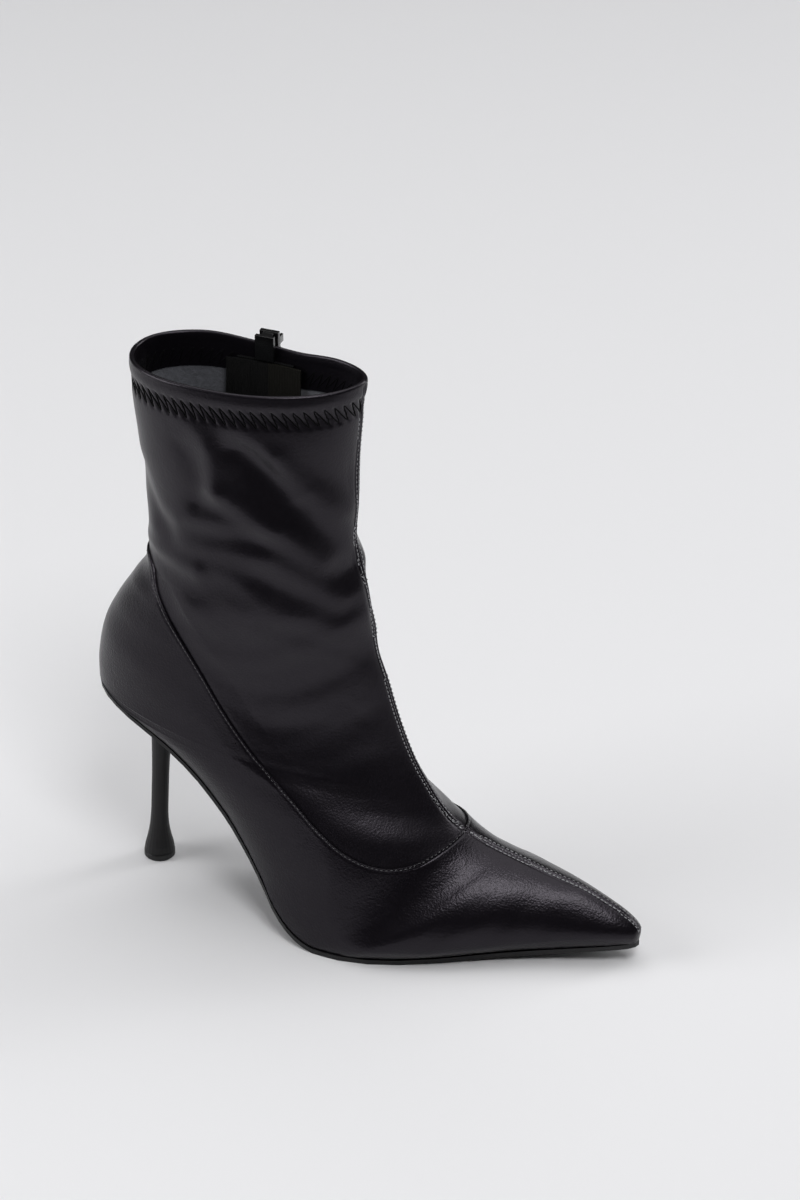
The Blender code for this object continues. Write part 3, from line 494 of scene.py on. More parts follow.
SEAM_STATIONS = np.linspace(COLLAR_ROW, ROW_TIP, 1200)
SEAM_TURNS = {side: seam_turn(SEAM_STATIONS, side) for side in (-1, 1)}
LEG_PER_SIDE, LEG_STEP = 150, 1.05
LEG_PAST_VAMP, LEG_UNDER = 0.24, 0.05
FOLD, FACING, ROW_HIGH = 1.0, 15.0, 23.0
CREST_PLACES = np.array((0.0, 0.25, 0.5, 0.8, 1.1, 1.4, 1.7, 2.0, 2.4, 3.0, 3.7))


def leg_places(length):
    """Close together at the front seam and at the back seam, even between them."""
    near = CREST_PLACES * min(1.0, length / 30.0)
    far = length - near[::-1]
    between = np.linspace(near[-1], far[0], LEG_PER_SIDE - 2 * len(near) + 2)[1:-1]
    return np.concatenate((near, between, far))


def leg_halves():
    """Both sides of the leg's sheet, from inside the facing over the fold to below the seam."""
    halves = []
    dense = SEAM_STATIONS
    run = run_along(np.stack(crest_line(dense), -1))
    stop = np.interp(VAMP_ROW + LEG_PAST_VAMP, dense, run)
    rows = np.interp(np.linspace(0.0, stop, int(stop / LEG_STEP)), run, dense)
    for side in (-1, 1):
        seam = SEAM_TURNS[side]
        near = np.clip(np.arange(-12, 13)[:, None] + np.arange(len(dense)), 0, len(dense) - 1)
        under = np.minimum(seam[near].max(0) + np.where(seam < 2.0, LEG_UNDER, 0.0), 2.0)
        ends = np.maximum(np.interp(rows, dense, under), 0.04)
        turns = spread(rows, side, 0.0, np.zeros(len(rows)), ends, leg_places)
        body = skin(rows[:, None], turns, side, 0.0)
        top_turns = turns[0]
        rim = rim_row(top_turns, side, FOLD)
        hem = np.linspace(0.0, 1.0, 38)[:-1, None]
        outside = skin(rim + (COLLAR_ROW - rim) * hem, top_turns, side, 0.0)
        around = np.linspace(math.pi, 0.0, 13)[:-1, None]
        fold = skin(rim + 0.0 * around, top_turns, side, FOLD * (np.cos(around) - 1.0))
        fold[..., 2] += FOLD * np.sin(around)
        inner = np.linspace(FACING / ROW_HIGH, 0.0, 13)[:-1, None]
        facing = skin(rim + inner, top_turns, side, -2.0 * FOLD - 0.25 * (inner > 0.0))
        halves.append((side, np.concatenate((facing, fold, outside, body))))
    return halves


leg = leather_grid("leg_leather", leg_halves())

# Creases of the leg, worked along short bows on each side: the soft folds over the ankle
# and the long slanting hollow to the front. A crease's three places are in side view, and ridges
# are above nought.
CREASE_COLUMNS = ("side", "x0", "z0", "x1", "z1", "x2", "z2", "half_width", "height")
CREASE_ROWS = (
    (-1, 76, 226, 96, 206, 119, 170, 6.5, -2.17),
    (-1, 70, 203, 90, 193, 110, 176, 6, 1.3),
    (-1, 92, 222, 104, 209, 116, 196, 6, 1.01),
    (-1, 54, 236, 64, 226, 67, 206, 5, 1.45),
    (-1, 50, 187, 69, 191, 90, 190, 5.5, 0.87),
    (-1, 27, 202, 34, 190, 44, 178, 5, -1.01),
    (-1, 28, 166, 42, 168.5, 58, 166, 4.6, 0.95),
    (-1, 30, 160.5, 44, 161, 56, 156, 5.2, -0.6),
    (-1, 62, 156, 86, 141, 114, 149, 7, -0.55),
    (-1, 56, 133, 82, 127, 118, 146, 5.5, 0.61),
    (-1, 62, 116, 92, 112, 120, 127, 6, -0.67),
    (-1, 74, 95, 96, 91, 122, 106, 5, 0.39),
    (-1, 84, 79, 104, 75, 128, 82, 6, -0.35),
    (1, 78, 214, 96, 202, 117, 178, 6.5, -1.74),
    (1, 84, 188, 100, 182, 116, 168, 5, 1.16),
    (1, 28, 166, 42, 169, 56, 165, 4.6, 0.95),
    (1, 30, 160, 44, 161, 56, 155, 4.6, -0.9),
    (1, 78, 152, 96, 140, 118, 146, 6, -1.45),
    (1, 72, 132, 94, 125, 120, 138, 5.5, 1.3),
    (1, 66, 116, 92, 110, 122, 124, 6, -1.45),
    (1, 78, 94, 98, 91, 124, 104, 5, 1.01),
    (-1, 40, 182, 62, 184.5, 84, 185, 5.4, -0.5),
    (-1, 36, 176, 60, 178, 84, 178, 5.4, 0.6),
    (-1, 86, 146.5, 104, 140.5, 119, 133, 4.6, -0.34),
    (-1, 84, 140, 102, 134, 118, 127, 4.6, 0.25),
    (-1, 52, 222, 58, 212, 58, 198, 5, -0.63),
    (-1, 74, 238, 88, 226, 100, 206, 4.5, 0.8),
    (-1, 60, 198, 72, 194, 84, 184, 5, -0.63),
    (-1, 90, 176, 102, 168, 116, 158, 5, 0.72),
    (-1, 84, 168, 98, 160, 114, 150, 5, -0.63),
    (-1, 60, 168, 74, 166, 86, 158, 5, 0.54),
    (-1, 84, 93, 100, 89.5, 122, 98, 5, 0.14),
    (-1, 58, 151, 88, 147, 121, 149, 12, 2.1),
    (-1, 84, 216, 98, 213, 118, 207, 11, -1.2),
    (-1, 74, 98, 98, 93, 121, 102, 9, -1.1),
)


ZIP_MIDDLE, ZIP_CLEAR, ZIP_EASE = 68.0, 5.0, 14.0


def crease_height(points):
    """How far the leather stands out or falls in at each point, from the table of creases."""
    total = np.zeros(len(points))
    t = np.linspace(0.0, 1.0, 15)[:, None]
    for row in CREASE_ROWS:
        crease = dict(zip(CREASE_COLUMNS, row))
        a = np.array((crease["x0"], crease["z0"]))
        c = np.array((crease["x2"], crease["z2"]))
        b = np.array((crease["x1"], crease["z1"])) * 2.0 - 0.5 * (a + c)
        bow = a * (1.0 - t) ** 2 + b * t * (1.0 - t) * 2.0 + c * t**2
        near = distance(points, bow)
        facing = np.clip(crease["side"] * (points[:, 1] - 1.0) / 8.0 + 0.5, 0.0, 1.0)
        total += crease["height"] * np.exp(-((near / crease["half_width"]) ** 2)) * facing
    clear = np.clip((np.abs(points[:, 0] - ZIP_MIDDLE) - ZIP_CLEAR) / ZIP_EASE, 0.0, 1.0)
    return total * np.where(points[:, 1] > 8.0, clear, 1.0)


def dents(away, *rows):
    """Ridges and hollows along a line, each by its distance from it, half width and height."""
    return sum(height * np.exp(-(((away - at) / wide) ** 2)) for at, wide, height in rows)


def quarter_seam(side, grow):
    """The seam's line on one side, from the back to the crest of the vamp."""
    turn = SEAM_TURNS[side]
    on_form = (turn < 2.0) & (turn > 0.0)
    return skin(SEAM_STATIONS[on_form], turn[on_form], side, grow)


def by_side(points, measure):
    """A measure taken for each point on its own side of the shoe."""
    return np.where(points[:, 1] < 1.0, measure(-1), measure(1))


def under_rim(points):
    return by_side(points, lambda side: read_off(RIM_ROWS, points[:, 0], side)) - points[:, 2]


def off_seam(points, grow):
    return by_side(points, lambda side: distance(points, quarter_seam(side, grow)))


def worked(points):
    """The creases' height, which fades out below the hem and before the quarter seam."""
    below_hem = np.clip((under_rim(points) - 12.0) / 14.0, 0.0, 1.0)
    beside_seam = np.clip((off_seam(points, 0.0) - 1.5) / 8.0, 0.0, 1.0)
    return crease_height(points) * below_hem * beside_seam


ZIGZAG_PITCH, ZIGZAG_LEAN = 4.3, 0.70
ZIGZAG_TOP, ZIGZAG_LOW = 7.0, 14.5


def collar_loop(down, grow):
    """A closed line some way below the collar's edge, from the front by the outer side."""
    turns = np.linspace(0.0, 2.0, 161)
    lateral = skin(rim_row(turns, -1, down), turns, -1, grow)
    medial = skin(rim_row(turns, 1, down), turns, 1, grow)
    return np.concatenate((lateral, medial[-2::-1]))


def zigzag_corners(grow):
    """The hem stitch's corners, high and low in turn."""
    run = run_along(collar_loop(0.5 * (ZIGZAG_TOP + ZIGZAG_LOW), 0.0))
    count = round(run[-1] / ZIGZAG_PITCH)
    share = run / run[-1]
    high, low = collar_loop(ZIGZAG_TOP, grow), collar_loop(ZIGZAG_LOW, grow)
    places = []
    for k in range(count):
        for line, at in ((high, (k + ZIGZAG_LEAN) / count), (low, k / count)):
            places.append([np.interp(at, share, line[:, axis]) for axis in range(3)])
    return np.array(places)


def fill_in(line, step):
    """More points along a line of straight pieces."""
    parts = []
    for a, b in zip(line[:-1], line[1:]):
        count = max(int(np.linalg.norm(b - a) / step), 1)
        parts.append(np.linspace(a, b, count, endpoint=False))
    return np.concatenate(parts + [line[-1:]])


points, outward = corners(leg)
crest_rows = np.linspace(0.0, ROW_TIP, 500)
crest_points = np.stack(crest_line(crest_rows), -1)
back_points = np.stack(back_line(np.linspace(0.0, TURN_LAST, 160)), -1)
outside = (outward * (points - np.array((72.0, 0.0, 0.0)))).sum(1) > 0.0
below_rim = under_rim(points)
from_crest = distance(points, crest_points)
form = dents(from_crest, (0.0, 0.4, -0.45), (0.95, 0.5, 0.2), (1.7, 0.35, -0.2))
form += dents(distance(points, back_points), (0.0, 0.4, -0.4), (0.95, 0.5, 0.15))
form *= np.clip(below_rim / 2.0, 0.0, 1.0)
form += dents(below_rim, (10.7, 3.6, -0.35), (4.0, 2.4, 0.3))
hem = np.nonzero((below_rim > 3.0) & (below_rim < 19.0))[0]
drawn_in = fill_in(zigzag_corners(0.0), 0.8)
form[hem] += dents(distance(points[hem], drawn_in), (0.0, 0.62, -0.5))
shape(leg, points + outward * ((worked(points) + form) * outside)[:, None])

# The zip's opening in the leather: cut clean from 1 mm above the zip's foot to the collar, 3 mm to
# either side of the coil. Its cut edges are turned in, and closed where the collar is double.
ZIP_X, ZIP_LOW, ZIP_LEAN = 67.0, 136.0, 2.0 / 126.0
SLOT_HALF, SLOT_LOW, SLOT_NEAR = 3.0, 137.5, 9.0
DOUBLE_FROM, SINGLE_TO, TURNED_IN, CUT_NEAR = 236.0, 238.0, 0.0018, 0.03


def zip_x(z):
    """Middle line of the zip, which leans a little to the front."""
    return ZIP_X + (np.asarray(z) - ZIP_LOW) * ZIP_LEAN


def by_zip(places, wide, low=130.0):
    off_zip = np.abs(places[:, 0] - zip_x(places[:, 2]))
    return (places[:, 1] > 10.0) & (off_zip < wide) & (places[:, 2] > low)


def pick(piece, chosen, kind="FACE"):
    """Selects a piece's faces or edges by their places in millimetres, and stays in edit mode."""
    bpy.ops.object.select_all(action="DESELECT")
    bpy.context.view_layer.objects.active = piece
    piece.select_set(True)
    bpy.ops.object.mode_set(mode="EDIT")
    bpy.ops.mesh.select_mode(type=kind)
    bpy.ops.mesh.select_all(action="DESELECT")
    bpy.ops.object.mode_set(mode="OBJECT")
    if kind == "FACE":
        middles = np.zeros(len(piece.data.polygons) * 3)
        piece.data.polygons.foreach_get("center", middles)
        picked = chosen(middles.reshape(-1, 3) * 1000.0 + origin)
        piece.data.polygons.foreach_set("select", picked)
    else:
        ends = np.zeros(len(piece.data.edges) * 2, int)
        piece.data.edges.foreach_get("vertices", ends)
        at_corners = chosen(corners(piece)[0])
        piece.data.edges.foreach_set("select", at_corners[ends.reshape(-1, 2)].all(1))
    bpy.ops.object.mode_set(mode="EDIT")


def cut(piece, place_mm, normal):
    """Splits the faces about the zip along a plane."""
    pick(piece, lambda places: by_zip(places, SLOT_NEAR))
    bpy.ops.mesh.bisect(plane_co=metres(place_mm), plane_no=normal, threshold=1e-6)
    bpy.ops.object.mode_set(mode="OBJECT")


def take_out(piece, chosen):
    pick(piece, chosen)
    bpy.ops.mesh.delete(type="FACE")
    bpy.ops.object.mode_set(mode="OBJECT")


lean = math.atan(ZIP_LEAN)
for across in (-SLOT_HALF, SLOT_HALF):
    cut(leg, (ZIP_X + across, 0.0, ZIP_LOW), (math.cos(lean), 0.0, -math.sin(lean)))
cut(leg, (ZIP_X, 0.0, SLOT_LOW), (0.0, 0.0, 1.0))
take_out(leg, lambda places: by_zip(places, SLOT_HALF, SLOT_LOW))
for across in (-SLOT_HALF, SLOT_HALF):

    def by_edge(places):
        near = np.abs(places[:, 0] - zip_x(places[:, 2]) - across) < CUT_NEAR
        return near & (places[:, 1] > 10.0) & (places[:, 2] > DOUBLE_FROM)

    pick(leg, by_edge, "EDGE")
    bpy.ops.mesh.edge_face_add()
    bpy.ops.object.mode_set(mode="OBJECT")


def by_slot(places):
    return by_zip(places, SLOT_HALF + CUT_NEAR, SLOT_LOW - 0.05) & (places[:, 2] < SINGLE_TO)


pick(leg, by_slot, "EDGE")
bpy.ops.mesh.extrude_edges_move(TRANSFORM_OT_translate={"value": (0.0, -TURNED_IN, 0.0)})
bpy.ops.object.mode_set(mode="OBJECT")
bpy.ops.object.select_all(action="DESELECT")


# The leather's finish: coated stretch leather, deep black with a faint plum cast, a satin coat and
# a close fine grain. Every other finish of the shoe is mixed with the same two classes.
class Wire:
    """One output of a material's node. Sums on wires add Math nodes."""

    def __init__(self, finish, socket):
        self.finish = finish
        self.socket = socket

    def maths(self, operation, other):
        return self.finish.node("ShaderNodeMath", {"operation": operation}, {0: self, 1: other})

    def __add__(self, other):
        return self.maths("ADD", other)

    def __mul__(self, other):
        return self.maths("MULTIPLY", other)

    def __gt__(self, other):
        return self.maths("GREATER_THAN", other)

    __radd__ = __add__
    __rmul__ = __mul__


class Finish:
    """A material named for the finish it gives, and the one method that adds any node to it."""

    def __init__(self, name, constants):
        self.material = bpy.data.materials.new(name)
        self.material.use_nodes = True
        self.tree = self.material.node_tree
        self.shader = self.tree.nodes["Principled BSDF"]
        for socket, value in constants.items():
            self.shader.inputs[socket].default_value = value

    def join(self, value, socket):
        if isinstance(value, Wire):
            self.tree.links.new(value.socket, socket)
        else:
            socket.default_value = value

    def feed(self, socket, value):
        self.join(value, self.shader.inputs[socket])

    def node(self, kind, settings, values, out=0):
        made = self.tree.nodes.new(kind)
        for key, value in settings.items():
            setattr(made, key, value)
        for key, value in values.items():
            self.join(value, made.inputs[key])
        return Wire(self, made.outputs[out])

    def place(self):
        return self.node("ShaderNodeTexCoord", {}, {}, "Object")

    def noise(self, where, scale, detail=2.0, rough=0.5):
        values = {"Vector": where, "Scale": scale, "Detail": detail, "Roughness": rough}
        return self.node("ShaderNodeTexNoise", {"normalize": True}, values)

    def mix(self, share, first, second):
        values = {0: share, 6: first, 7: second}
        return self.node("ShaderNodeMix", {"data_type": "RGBA"}, values, 2)

    def bump(self, height, metres_high, strength, base=None):
        values = {"Height": height, "Distance": metres_high, "Strength": strength}
        if base is not None:
            values["Normal"] = base
        return self.node("ShaderNodeBump", {}, values)

    def wear(self, piece):
        piece.data.materials.clear()
        piece.data.materials.append(self.material)


COATED = {"Specular Tint": (0.94, 0.86, 1.0, 1.0), "Coat Roughness": 0.18, "Coat IOR": 1.40}
PLUM_DARK, PLUM_LIGHT = (0.0019, 0.0015, 0.0024, 1.0), (0.0040, 0.0031, 0.0047, 1.0)


def black_leather(name, grain, rough, shine):
    finish = Finish(name, {**COATED, "Specular IOR Level": shine})
    where = finish.place()
    cloud = finish.noise(where, 38.0, 3.0)
    finish.feed("Base Color", finish.mix(cloud, PLUM_DARK, PLUM_LIGHT))
    cells = {"Vector": where, "Scale": 1150.0, "Smoothness": 0.6}
    pores = finish.node("ShaderNodeTexVoronoi", {"feature": "SMOOTH_F1"}, cells)
    fine = finish.noise(where, 1900.0)
    finish.feed("Roughness", rough + 0.10 * cloud + 0.08 * fine)
    finish.feed("Coat Weight", 0.03 + 0.08 * finish.noise(where, 120.0))
    skin_bump = finish.bump(pores * 0.7 + fine * 0.5, 0.00012, grain)
    finish.feed("Normal", finish.bump(finish.noise(where, 160.0, 3.0), 0.0005, 0.25, skin_bump))
    return finish


leg_finish = black_leather("leg_stretch_leather", 0.6, 0.245, 0.34)
leg_finish.wear(leg)
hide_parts("upper")
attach(leg, "boot")

# The foot: one panel for counter and vamp, lasted over the form about 1 mm proud of the leg, its
# edge skived and rolled down on the leg along the quarter seam, its margin turned under the foot.
PANEL_STEP, PANEL_ROWS, PANEL_PER_SIDE, PANEL_ROLL = 1.0, 360, 96, 0.85
EDGE_PLACES = np.array((0.0, 0.12, 0.26, 0.42, 0.6, 0.85, 1.1, 1.35, 1.6, 1.9, 2.3, 2.9, 3.7))


def panel_places(length):
    """Close together along the seam's rolled edge and its stitch row, even beyond them."""
    near = EDGE_PLACES * min(1.0, length / 16.0)
    return np.concatenate((near, np.linspace(near[-1], length, PANEL_PER_SIDE - len(near) + 1)[1:]))


def panel_halves():
    """Both sides of the panel, rows closer at the back, about the vamp point and at the tip."""
    halves = []
    dense = SEAM_STATIONS
    crest = np.stack(crest_line(dense), -1)
    for side in (-1, 1):
        seam = SEAM_TURNS[side]
        start = dense[np.nonzero(seam < 2.0)[0][0]] - 0.02
        travel = np.linalg.norm(np.diff(crest, axis=0), axis=1)
        travel += np.linalg.norm(np.diff(skin(dense, 2.0, side, 0.0), axis=0), axis=1)
        travel *= 1.0 + 3.0 * (dense[1:] < start + 0.12)
        travel *= 1.0 + 2.5 * (dense[1:] > ROW_TIP - 1.3)
        travel *= 1.0 + 2.0 * (np.abs(dense[1:] - VAMP_ROW + 0.2) < 0.35)
        run = np.concatenate(((0.0,), np.cumsum(travel)))
        begin = np.interp(start, dense, run)
        rows = np.interp(np.linspace(begin, run[-1], PANEL_ROWS), run, dense)
        firsts = np.interp(rows, dense, seam)
        firsts[0] = 2.0
        lasts = np.full(len(rows), 2.0)
        turns = spread(rows, side, PANEL_STEP, firsts, lasts, panel_places)
        inward = np.clip(panel_places(60.0) / PANEL_ROLL, 0.0, 1.0)
        roll = np.sqrt(np.clip(1.0 - (1.0 - inward) ** 2, 0.0, 1.0))
        at_crest = firsts[:, None] < 1e-6
        body = skin(
            rows[:, None], turns, side, PANEL_STEP * np.where(at_crest, 1.0, 0.02 + 0.98 * roll)
        )
        margin = []
        for turned in (0.4, -0.6, -2.0):
            edge = skin(rows, 2.0, side, np.where(rows > TURN_LAST, turned, PANEL_STEP))
            margin.append(edge[:, None])
        halves.append((side, np.concatenate([body] + margin, axis=1)))
    return halves


panel = leather_grid("foot_leather", panel_halves())
points, outward = corners(panel)
from_crest = distance(points, skin(crest_rows, 0.0, -1, PANEL_STEP))
form = dents(from_crest, (0.0, 0.4, -0.45), (0.95, 0.5, 0.22), (1.7, 0.35, -0.22))
form += dents(off_seam(points, PANEL_STEP), (1.35, 0.4, -0.14), (2.6, 0.9, 0.03))
form *= np.clip((241.0 - points[:, 0]) / 7.0, 0.0, 1.0)
shape(panel, points + outward * form[:, None])
foot_finish = black_leather("foot_lasted_leather", 1.0, 0.21, 0.28)
foot_finish.wear(panel)
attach(panel, "boot")

# The stitches: thick dark polyester thread. On the front seam it is painted light grey, a painted
# highlight of its gloss. A row of dashes runs on either side of the front and back seams, one row
# below the quarter seam and one beside the zip. Fine puckers sit on the front seam itself, painted
# light grey in the same way.
def tree_of(piece):
    mesh = piece.data
    faces = [tuple(face.vertices) for face in mesh.polygons]
    return BVHTree.FromPolygons([tuple(v.co) for v in mesh.vertices], faces)


def settle(places, trees):
    """The nearest places on the leather in millimetres, and its direction outwards there."""
    spots, outs = [], []
    for place_mm in places:
        where = Vector(metres(place_mm))
        found = [tree.find_nearest(where) for tree in trees]
        best = min((hit for hit in found if hit[0] is not None), key=lambda hit: hit[3])
        spots.append(np.array(best[0]) * 1000.0 + origin)
        outs.append(np.array(best[1]))
    return np.array(spots), np.array(outs)


def resample(line, step):
    run = run_along(line)
    at = np.linspace(0.0, run[-1], max(int(round(run[-1] / step)), 2) + 1)
    return np.stack([np.interp(at, run, line[:, axis]) for axis in range(3)], -1)


def dashes(line, trees, away, pitch, share):
    """Runs of four short steps along a line on the leather, some way beside it."""
    on_line, outs = settle(resample(line, pitch * 0.25), trees)
    along = np.gradient(on_line, axis=0)
    along /= np.linalg.norm(along, axis=1)[:, None]
    beside = np.cross(along, outs)
    beside /= np.linalg.norm(beside, axis=1)[:, None]
    spots, outs = settle(on_line + beside * away, trees)
    t = np.linspace(0.5 - 0.5 * share, 0.5 + 0.5 * share, 5) * 4.0
    paths, ups = [], []
    for k in range(0, len(spots) - 4, 4):
        for source, lengths in ((spots, paths), (outs, ups)):
            piece = source[k : k + 5]
            lengths.append(np.stack([np.interp(t, np.arange(5), axis) for axis in piece.T], -1))
    return np.array(paths), np.array(ups)


THREAD_SIDES = 6


def thread(name, runs, radius, height, finish):
    """Short lengths of thread as one mesh, each sunk at its ends and raised between."""
    paths = np.concatenate([run[0] for run in runs])
    ups = np.concatenate([run[1] for run in runs])
    count, steps = paths.shape[:2]
    swell = np.sin(np.linspace(0.0, math.pi, steps))
    ahead = np.gradient(paths, axis=1)
    ahead /= np.maximum(np.linalg.norm(ahead, axis=2), 1e-9)[..., None]
    beside = np.cross(ahead, ups)
    beside /= np.maximum(np.linalg.norm(beside, axis=2), 1e-9)[..., None]
    ups = np.cross(beside, ahead)
    centre = paths + ups * (height * (swell**0.5 - 0.35))[None, :, None]
    thick = radius * (0.45 + 0.55 * swell**0.5)[None, :, None]
    rings = []
    for k in range(THREAD_SIDES):
        turned = 2.0 * math.pi * k / THREAD_SIDES
        rings.append(centre + (beside * math.cos(turned) + ups * math.sin(turned)) * thick)
    points = np.stack(rings, 2).reshape(-1, 3)
    index = np.arange(len(points)).reshape(count, steps, THREAD_SIDES)
    near, far = index[:, :-1], index[:, 1:]
    walls = np.stack((far, np.roll(far, -1, 2), np.roll(near, -1, 2), near), -1).reshape(-1, 4)
    ends = index[:, 0].tolist() + index[:, -1, ::-1].tolist()
    piece = new_piece(name, points, walls.tolist() + ends)
    finish.wear(piece)
    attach(piece, "boot")
    return piece


def mottled(name, constants, noise, dark, light, rough=None, bump=None):
    """A finish whose colour, gloss and height all follow one fine noise."""
    finish = Finish(name, constants)
    mottle = finish.noise(finish.place(), *noise)
    finish.feed("Base Color", finish.mix(mottle, (*dark, 1.0), (*light, 1.0)))
    if rough:
        finish.feed("Roughness", rough[0] + rough[1] * mottle)
    if bump:
        finish.feed("Normal", finish.bump(mottle, *bump))
    return finish


# Painted highlight: the front seam's dark thread is given a light grey colour for the gloss it
# shows.
painted_highlight_thread = mottled(
    "polyester_thread_painted_highlight",
    {"Roughness": 0.38, "Specular IOR Level": 0.6, "Sheen Weight": 0.1},
    (900.0,),
    (0.14, 0.14, 0.15),
    (0.42, 0.42, 0.44),
)
seam_thread = mottled(
    "fine_seam_thread",
    {"Roughness": 0.42, "Specular IOR Level": 0.5},
    (700.0,),
    (0.02, 0.02, 0.022),
    (0.14, 0.14, 0.145),
)
dim_thread = mottled(
    "black_thread",
    {"Roughness": 0.6, "Specular IOR Level": 0.08},
    (900.0,),
    (0.0012, 0.0012, 0.0015),
    (0.004, 0.004, 0.0045),
)
leg_tree, panel_tree = tree_of(leg), tree_of(panel)
STITCH_PITCH, TOP_ROW, BESIDE_VAMP = 2.05, 0.75, 0.35
below_vamp = np.linspace(VAMP_ROW + BESIDE_VAMP, ROW_TIP - BESIDE_VAMP, 300)
crest_low = skin(below_vamp, 0.0, -1, PANEL_STEP)
crest_high = skin(np.linspace(TOP_ROW, VAMP_ROW, 400), 0.0, -1, 0.0)
runs = []
for line, trees in ((crest_high, [leg_tree, panel_tree]), (crest_low, [panel_tree])):
    for away in (-1.55, 1.55):
        runs.append(dashes(line, trees, away, STITCH_PITCH, 0.72))
thread("front_seam_stitches", runs, 0.24, 0.20, painted_highlight_thread)
# The puckers are painted light grey too, a painted highlight along the seam.
runs = []
for line, trees in ((crest_low, [panel_tree]), (crest_high, [leg_tree, panel_tree])):
    runs.append(dashes(line, trees, 0.75, 1.5, 0.5))
thread("front_seam_puckers", runs, 0.16, 0.10, painted_highlight_thread)
back_high = np.stack(back_line(np.linspace(TOP_ROW, TURN_LAST - 5.9, 120)), -1)
runs = [dashes(back_high, [leg_tree], away, STITCH_PITCH, 0.72) for away in (-1.3, 1.3)]
thread("back_seam_stitches", runs, 0.2, 0.15, dim_thread)
runs = []
for side, away in ((-1, 1.35), (1, -1.35)):
    runs.append(dashes(quarter_seam(side, PANEL_STEP), [panel_tree], away, 2.0, 0.58))
thread("quarter_seam_stitches", runs, 0.15, 0.12, seam_thread)

# The zip's own stitching, in the same fine thread: one row down each side of the opening through
# leather and tape, and square across below it.
ROW_BESIDE, WALL_Y = 5.6, 27.0
down_rows = np.linspace(236.0, 133.2, 60)
front_row, back_row = (
    np.stack((zip_x(down_rows) + across, np.full(60, WALL_Y), down_rows), -1)
    for across in (ROW_BESIDE, -ROW_BESIDE)
)
foot_row = np.linspace(front_row[-1], back_row[-1], 8)
zip_rows = (front_row, foot_row, back_row)
runs = [dashes(line, [leg_tree], 0.0, STITCH_PITCH, 0.7) for line in zip_rows]
thread("zip_stitches", runs, 0.17, 0.13, seam_thread)

# The hem at the collar is held by one zigzag row of black thread: long strokes forward and down,
# short ones back up, drawn into the leather. The same row shows inside, on the facing.
def strokes(places):
    """The zigzag's strokes laid on the leather, left out where the zip is."""
    paths, ups = [], []
    for a, b in zip(places[:-1], places[1:]):
        if np.linalg.norm(b - a) > 12.0 or by_zip(np.array([0.5 * (a + b)]), 5.0)[0]:
            continue
        spots, outs = settle(a + (b - a) * np.linspace(0.03, 0.97, 9)[:, None], [leg_tree])
        paths.append(spots)
        ups.append(outs)
    return np.array(paths), np.array(ups)


thread("hem_zigzag", [strokes(zigzag_corners(0.0))], 0.32, 0.12, dim_thread)
thread("hem_zigzag_inside", [strokes(zigzag_corners(-2.30))], 0.2, 0.10, dim_thread)

# The lining: brushed grey fleece from the facing's lower edge down to the sole, laid inside both
# leathers and cut away behind the zip.
LINING_GROW, LINING_TOP = -1.85, 0.8
halves = []
for side in (-1, 1):
    turns = np.linspace(0.0, 2.0, 56)
    top = rim_row(turns, side, 0.0) + (FACING - 2.0) / ROW_HIGH
    leg_rows = np.linspace(LINING_TOP, TURN_LAST, 76)
    foot_rows = np.linspace(TURN_LAST, ROW_TIP - 1.2, 60)[1:]
    rows = np.concatenate((leg_rows, foot_rows))[:, None]
    apart = 1e-4 * np.arange(len(rows))[:, None]
    rows = np.maximum.accumulate(np.maximum(rows, top) + apart, axis=0)
    halves.append((side, skin(rows, turns, side, LINING_GROW)))
lining = leather_grid("fleece_lining", halves)
bpy.ops.object.mode_set(mode="EDIT")
bpy.ops.mesh.select_all(action="SELECT")
bpy.ops.mesh.flip_normals()
bpy.ops.object.mode_set(mode="OBJECT")
points, inward = corners(lining)
above_seam = points[:, 2] > read_off(SEAM_ROWS, points[:, 0])
shape(lining, points - inward * (worked(points) * above_seam)[:, None])
take_out(lining, lambda places: by_zip(places, 4.5, 133.0))
bpy.ops.object.select_all(action="DESELECT")
PILE = {"Roughness": 0.95, "Specular IOR Level": 0.1, "Sheen Weight": 0.35, "Sheen Roughness": 0.6}
PILE_BUMP = (0.0009, 0.8)
PILE_DARK, PILE_LIGHT = (0.04, 0.042, 0.050), (0.16, 0.165, 0.19)
fleece = mottled("grey_fleece", PILE, (420.0, 5.0, 0.65), PILE_DARK, PILE_LIGHT, None, PILE_BUMP)
fleece.wear(lining)
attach(lining, "boot")

# The sock: a stiff board under the same brushed fleece, a little darker than the walls. It is
# glued down on the sole.
SOCK_DARK, SOCK_LIGHT = (0.020, 0.021, 0.025), (0.07, 0.075, 0.088)
sock = mottled("sock_fleece", PILE, (380.0, 5.0, 0.65), SOCK_DARK, SOCK_LIGHT, None, PILE_BUMP)
sock.wear(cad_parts["insole"])

# The outsole: a thin black synthetic sheet with a fine cast texture, cemented to the lasted upper,
# its edge polished.
sole_sheet = mottled(
    "black_sole_sheet",
    {"Specular IOR Level": 0.35},
    (260.0, 3.0),
    (0.004, 0.004, 0.0045),
    (0.010, 0.010, 0.011),
    (0.32, 0.18),
    (0.0003, 0.3),
)
sole_sheet.wear(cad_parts["outsole"])

# The heel: moulded plastic in a matte black rubbery paint, pinned to the seat, its top piece of a
# harder, plainer black.
heel_paint = mottled(
    "matte_heel_paint",
    {"Specular IOR Level": 0.35},
    (700.0,),
    (0.0045, 0.0042, 0.0048),
    (0.0085, 0.0080, 0.0088),
    (0.46, 0.12),
    (0.0001, 0.25),
)
heel_paint.wear(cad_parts["heel"])
tip_plastic = mottled(
    "heel_tip_plastic",
    {"Specular IOR Level": 0.4},
    (500.0, 3.0),
    (0.004, 0.004, 0.004),
    (0.011, 0.011, 0.011),
    (0.35, 0.25),
)
tip_plastic.wear(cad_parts["heel_tip"])

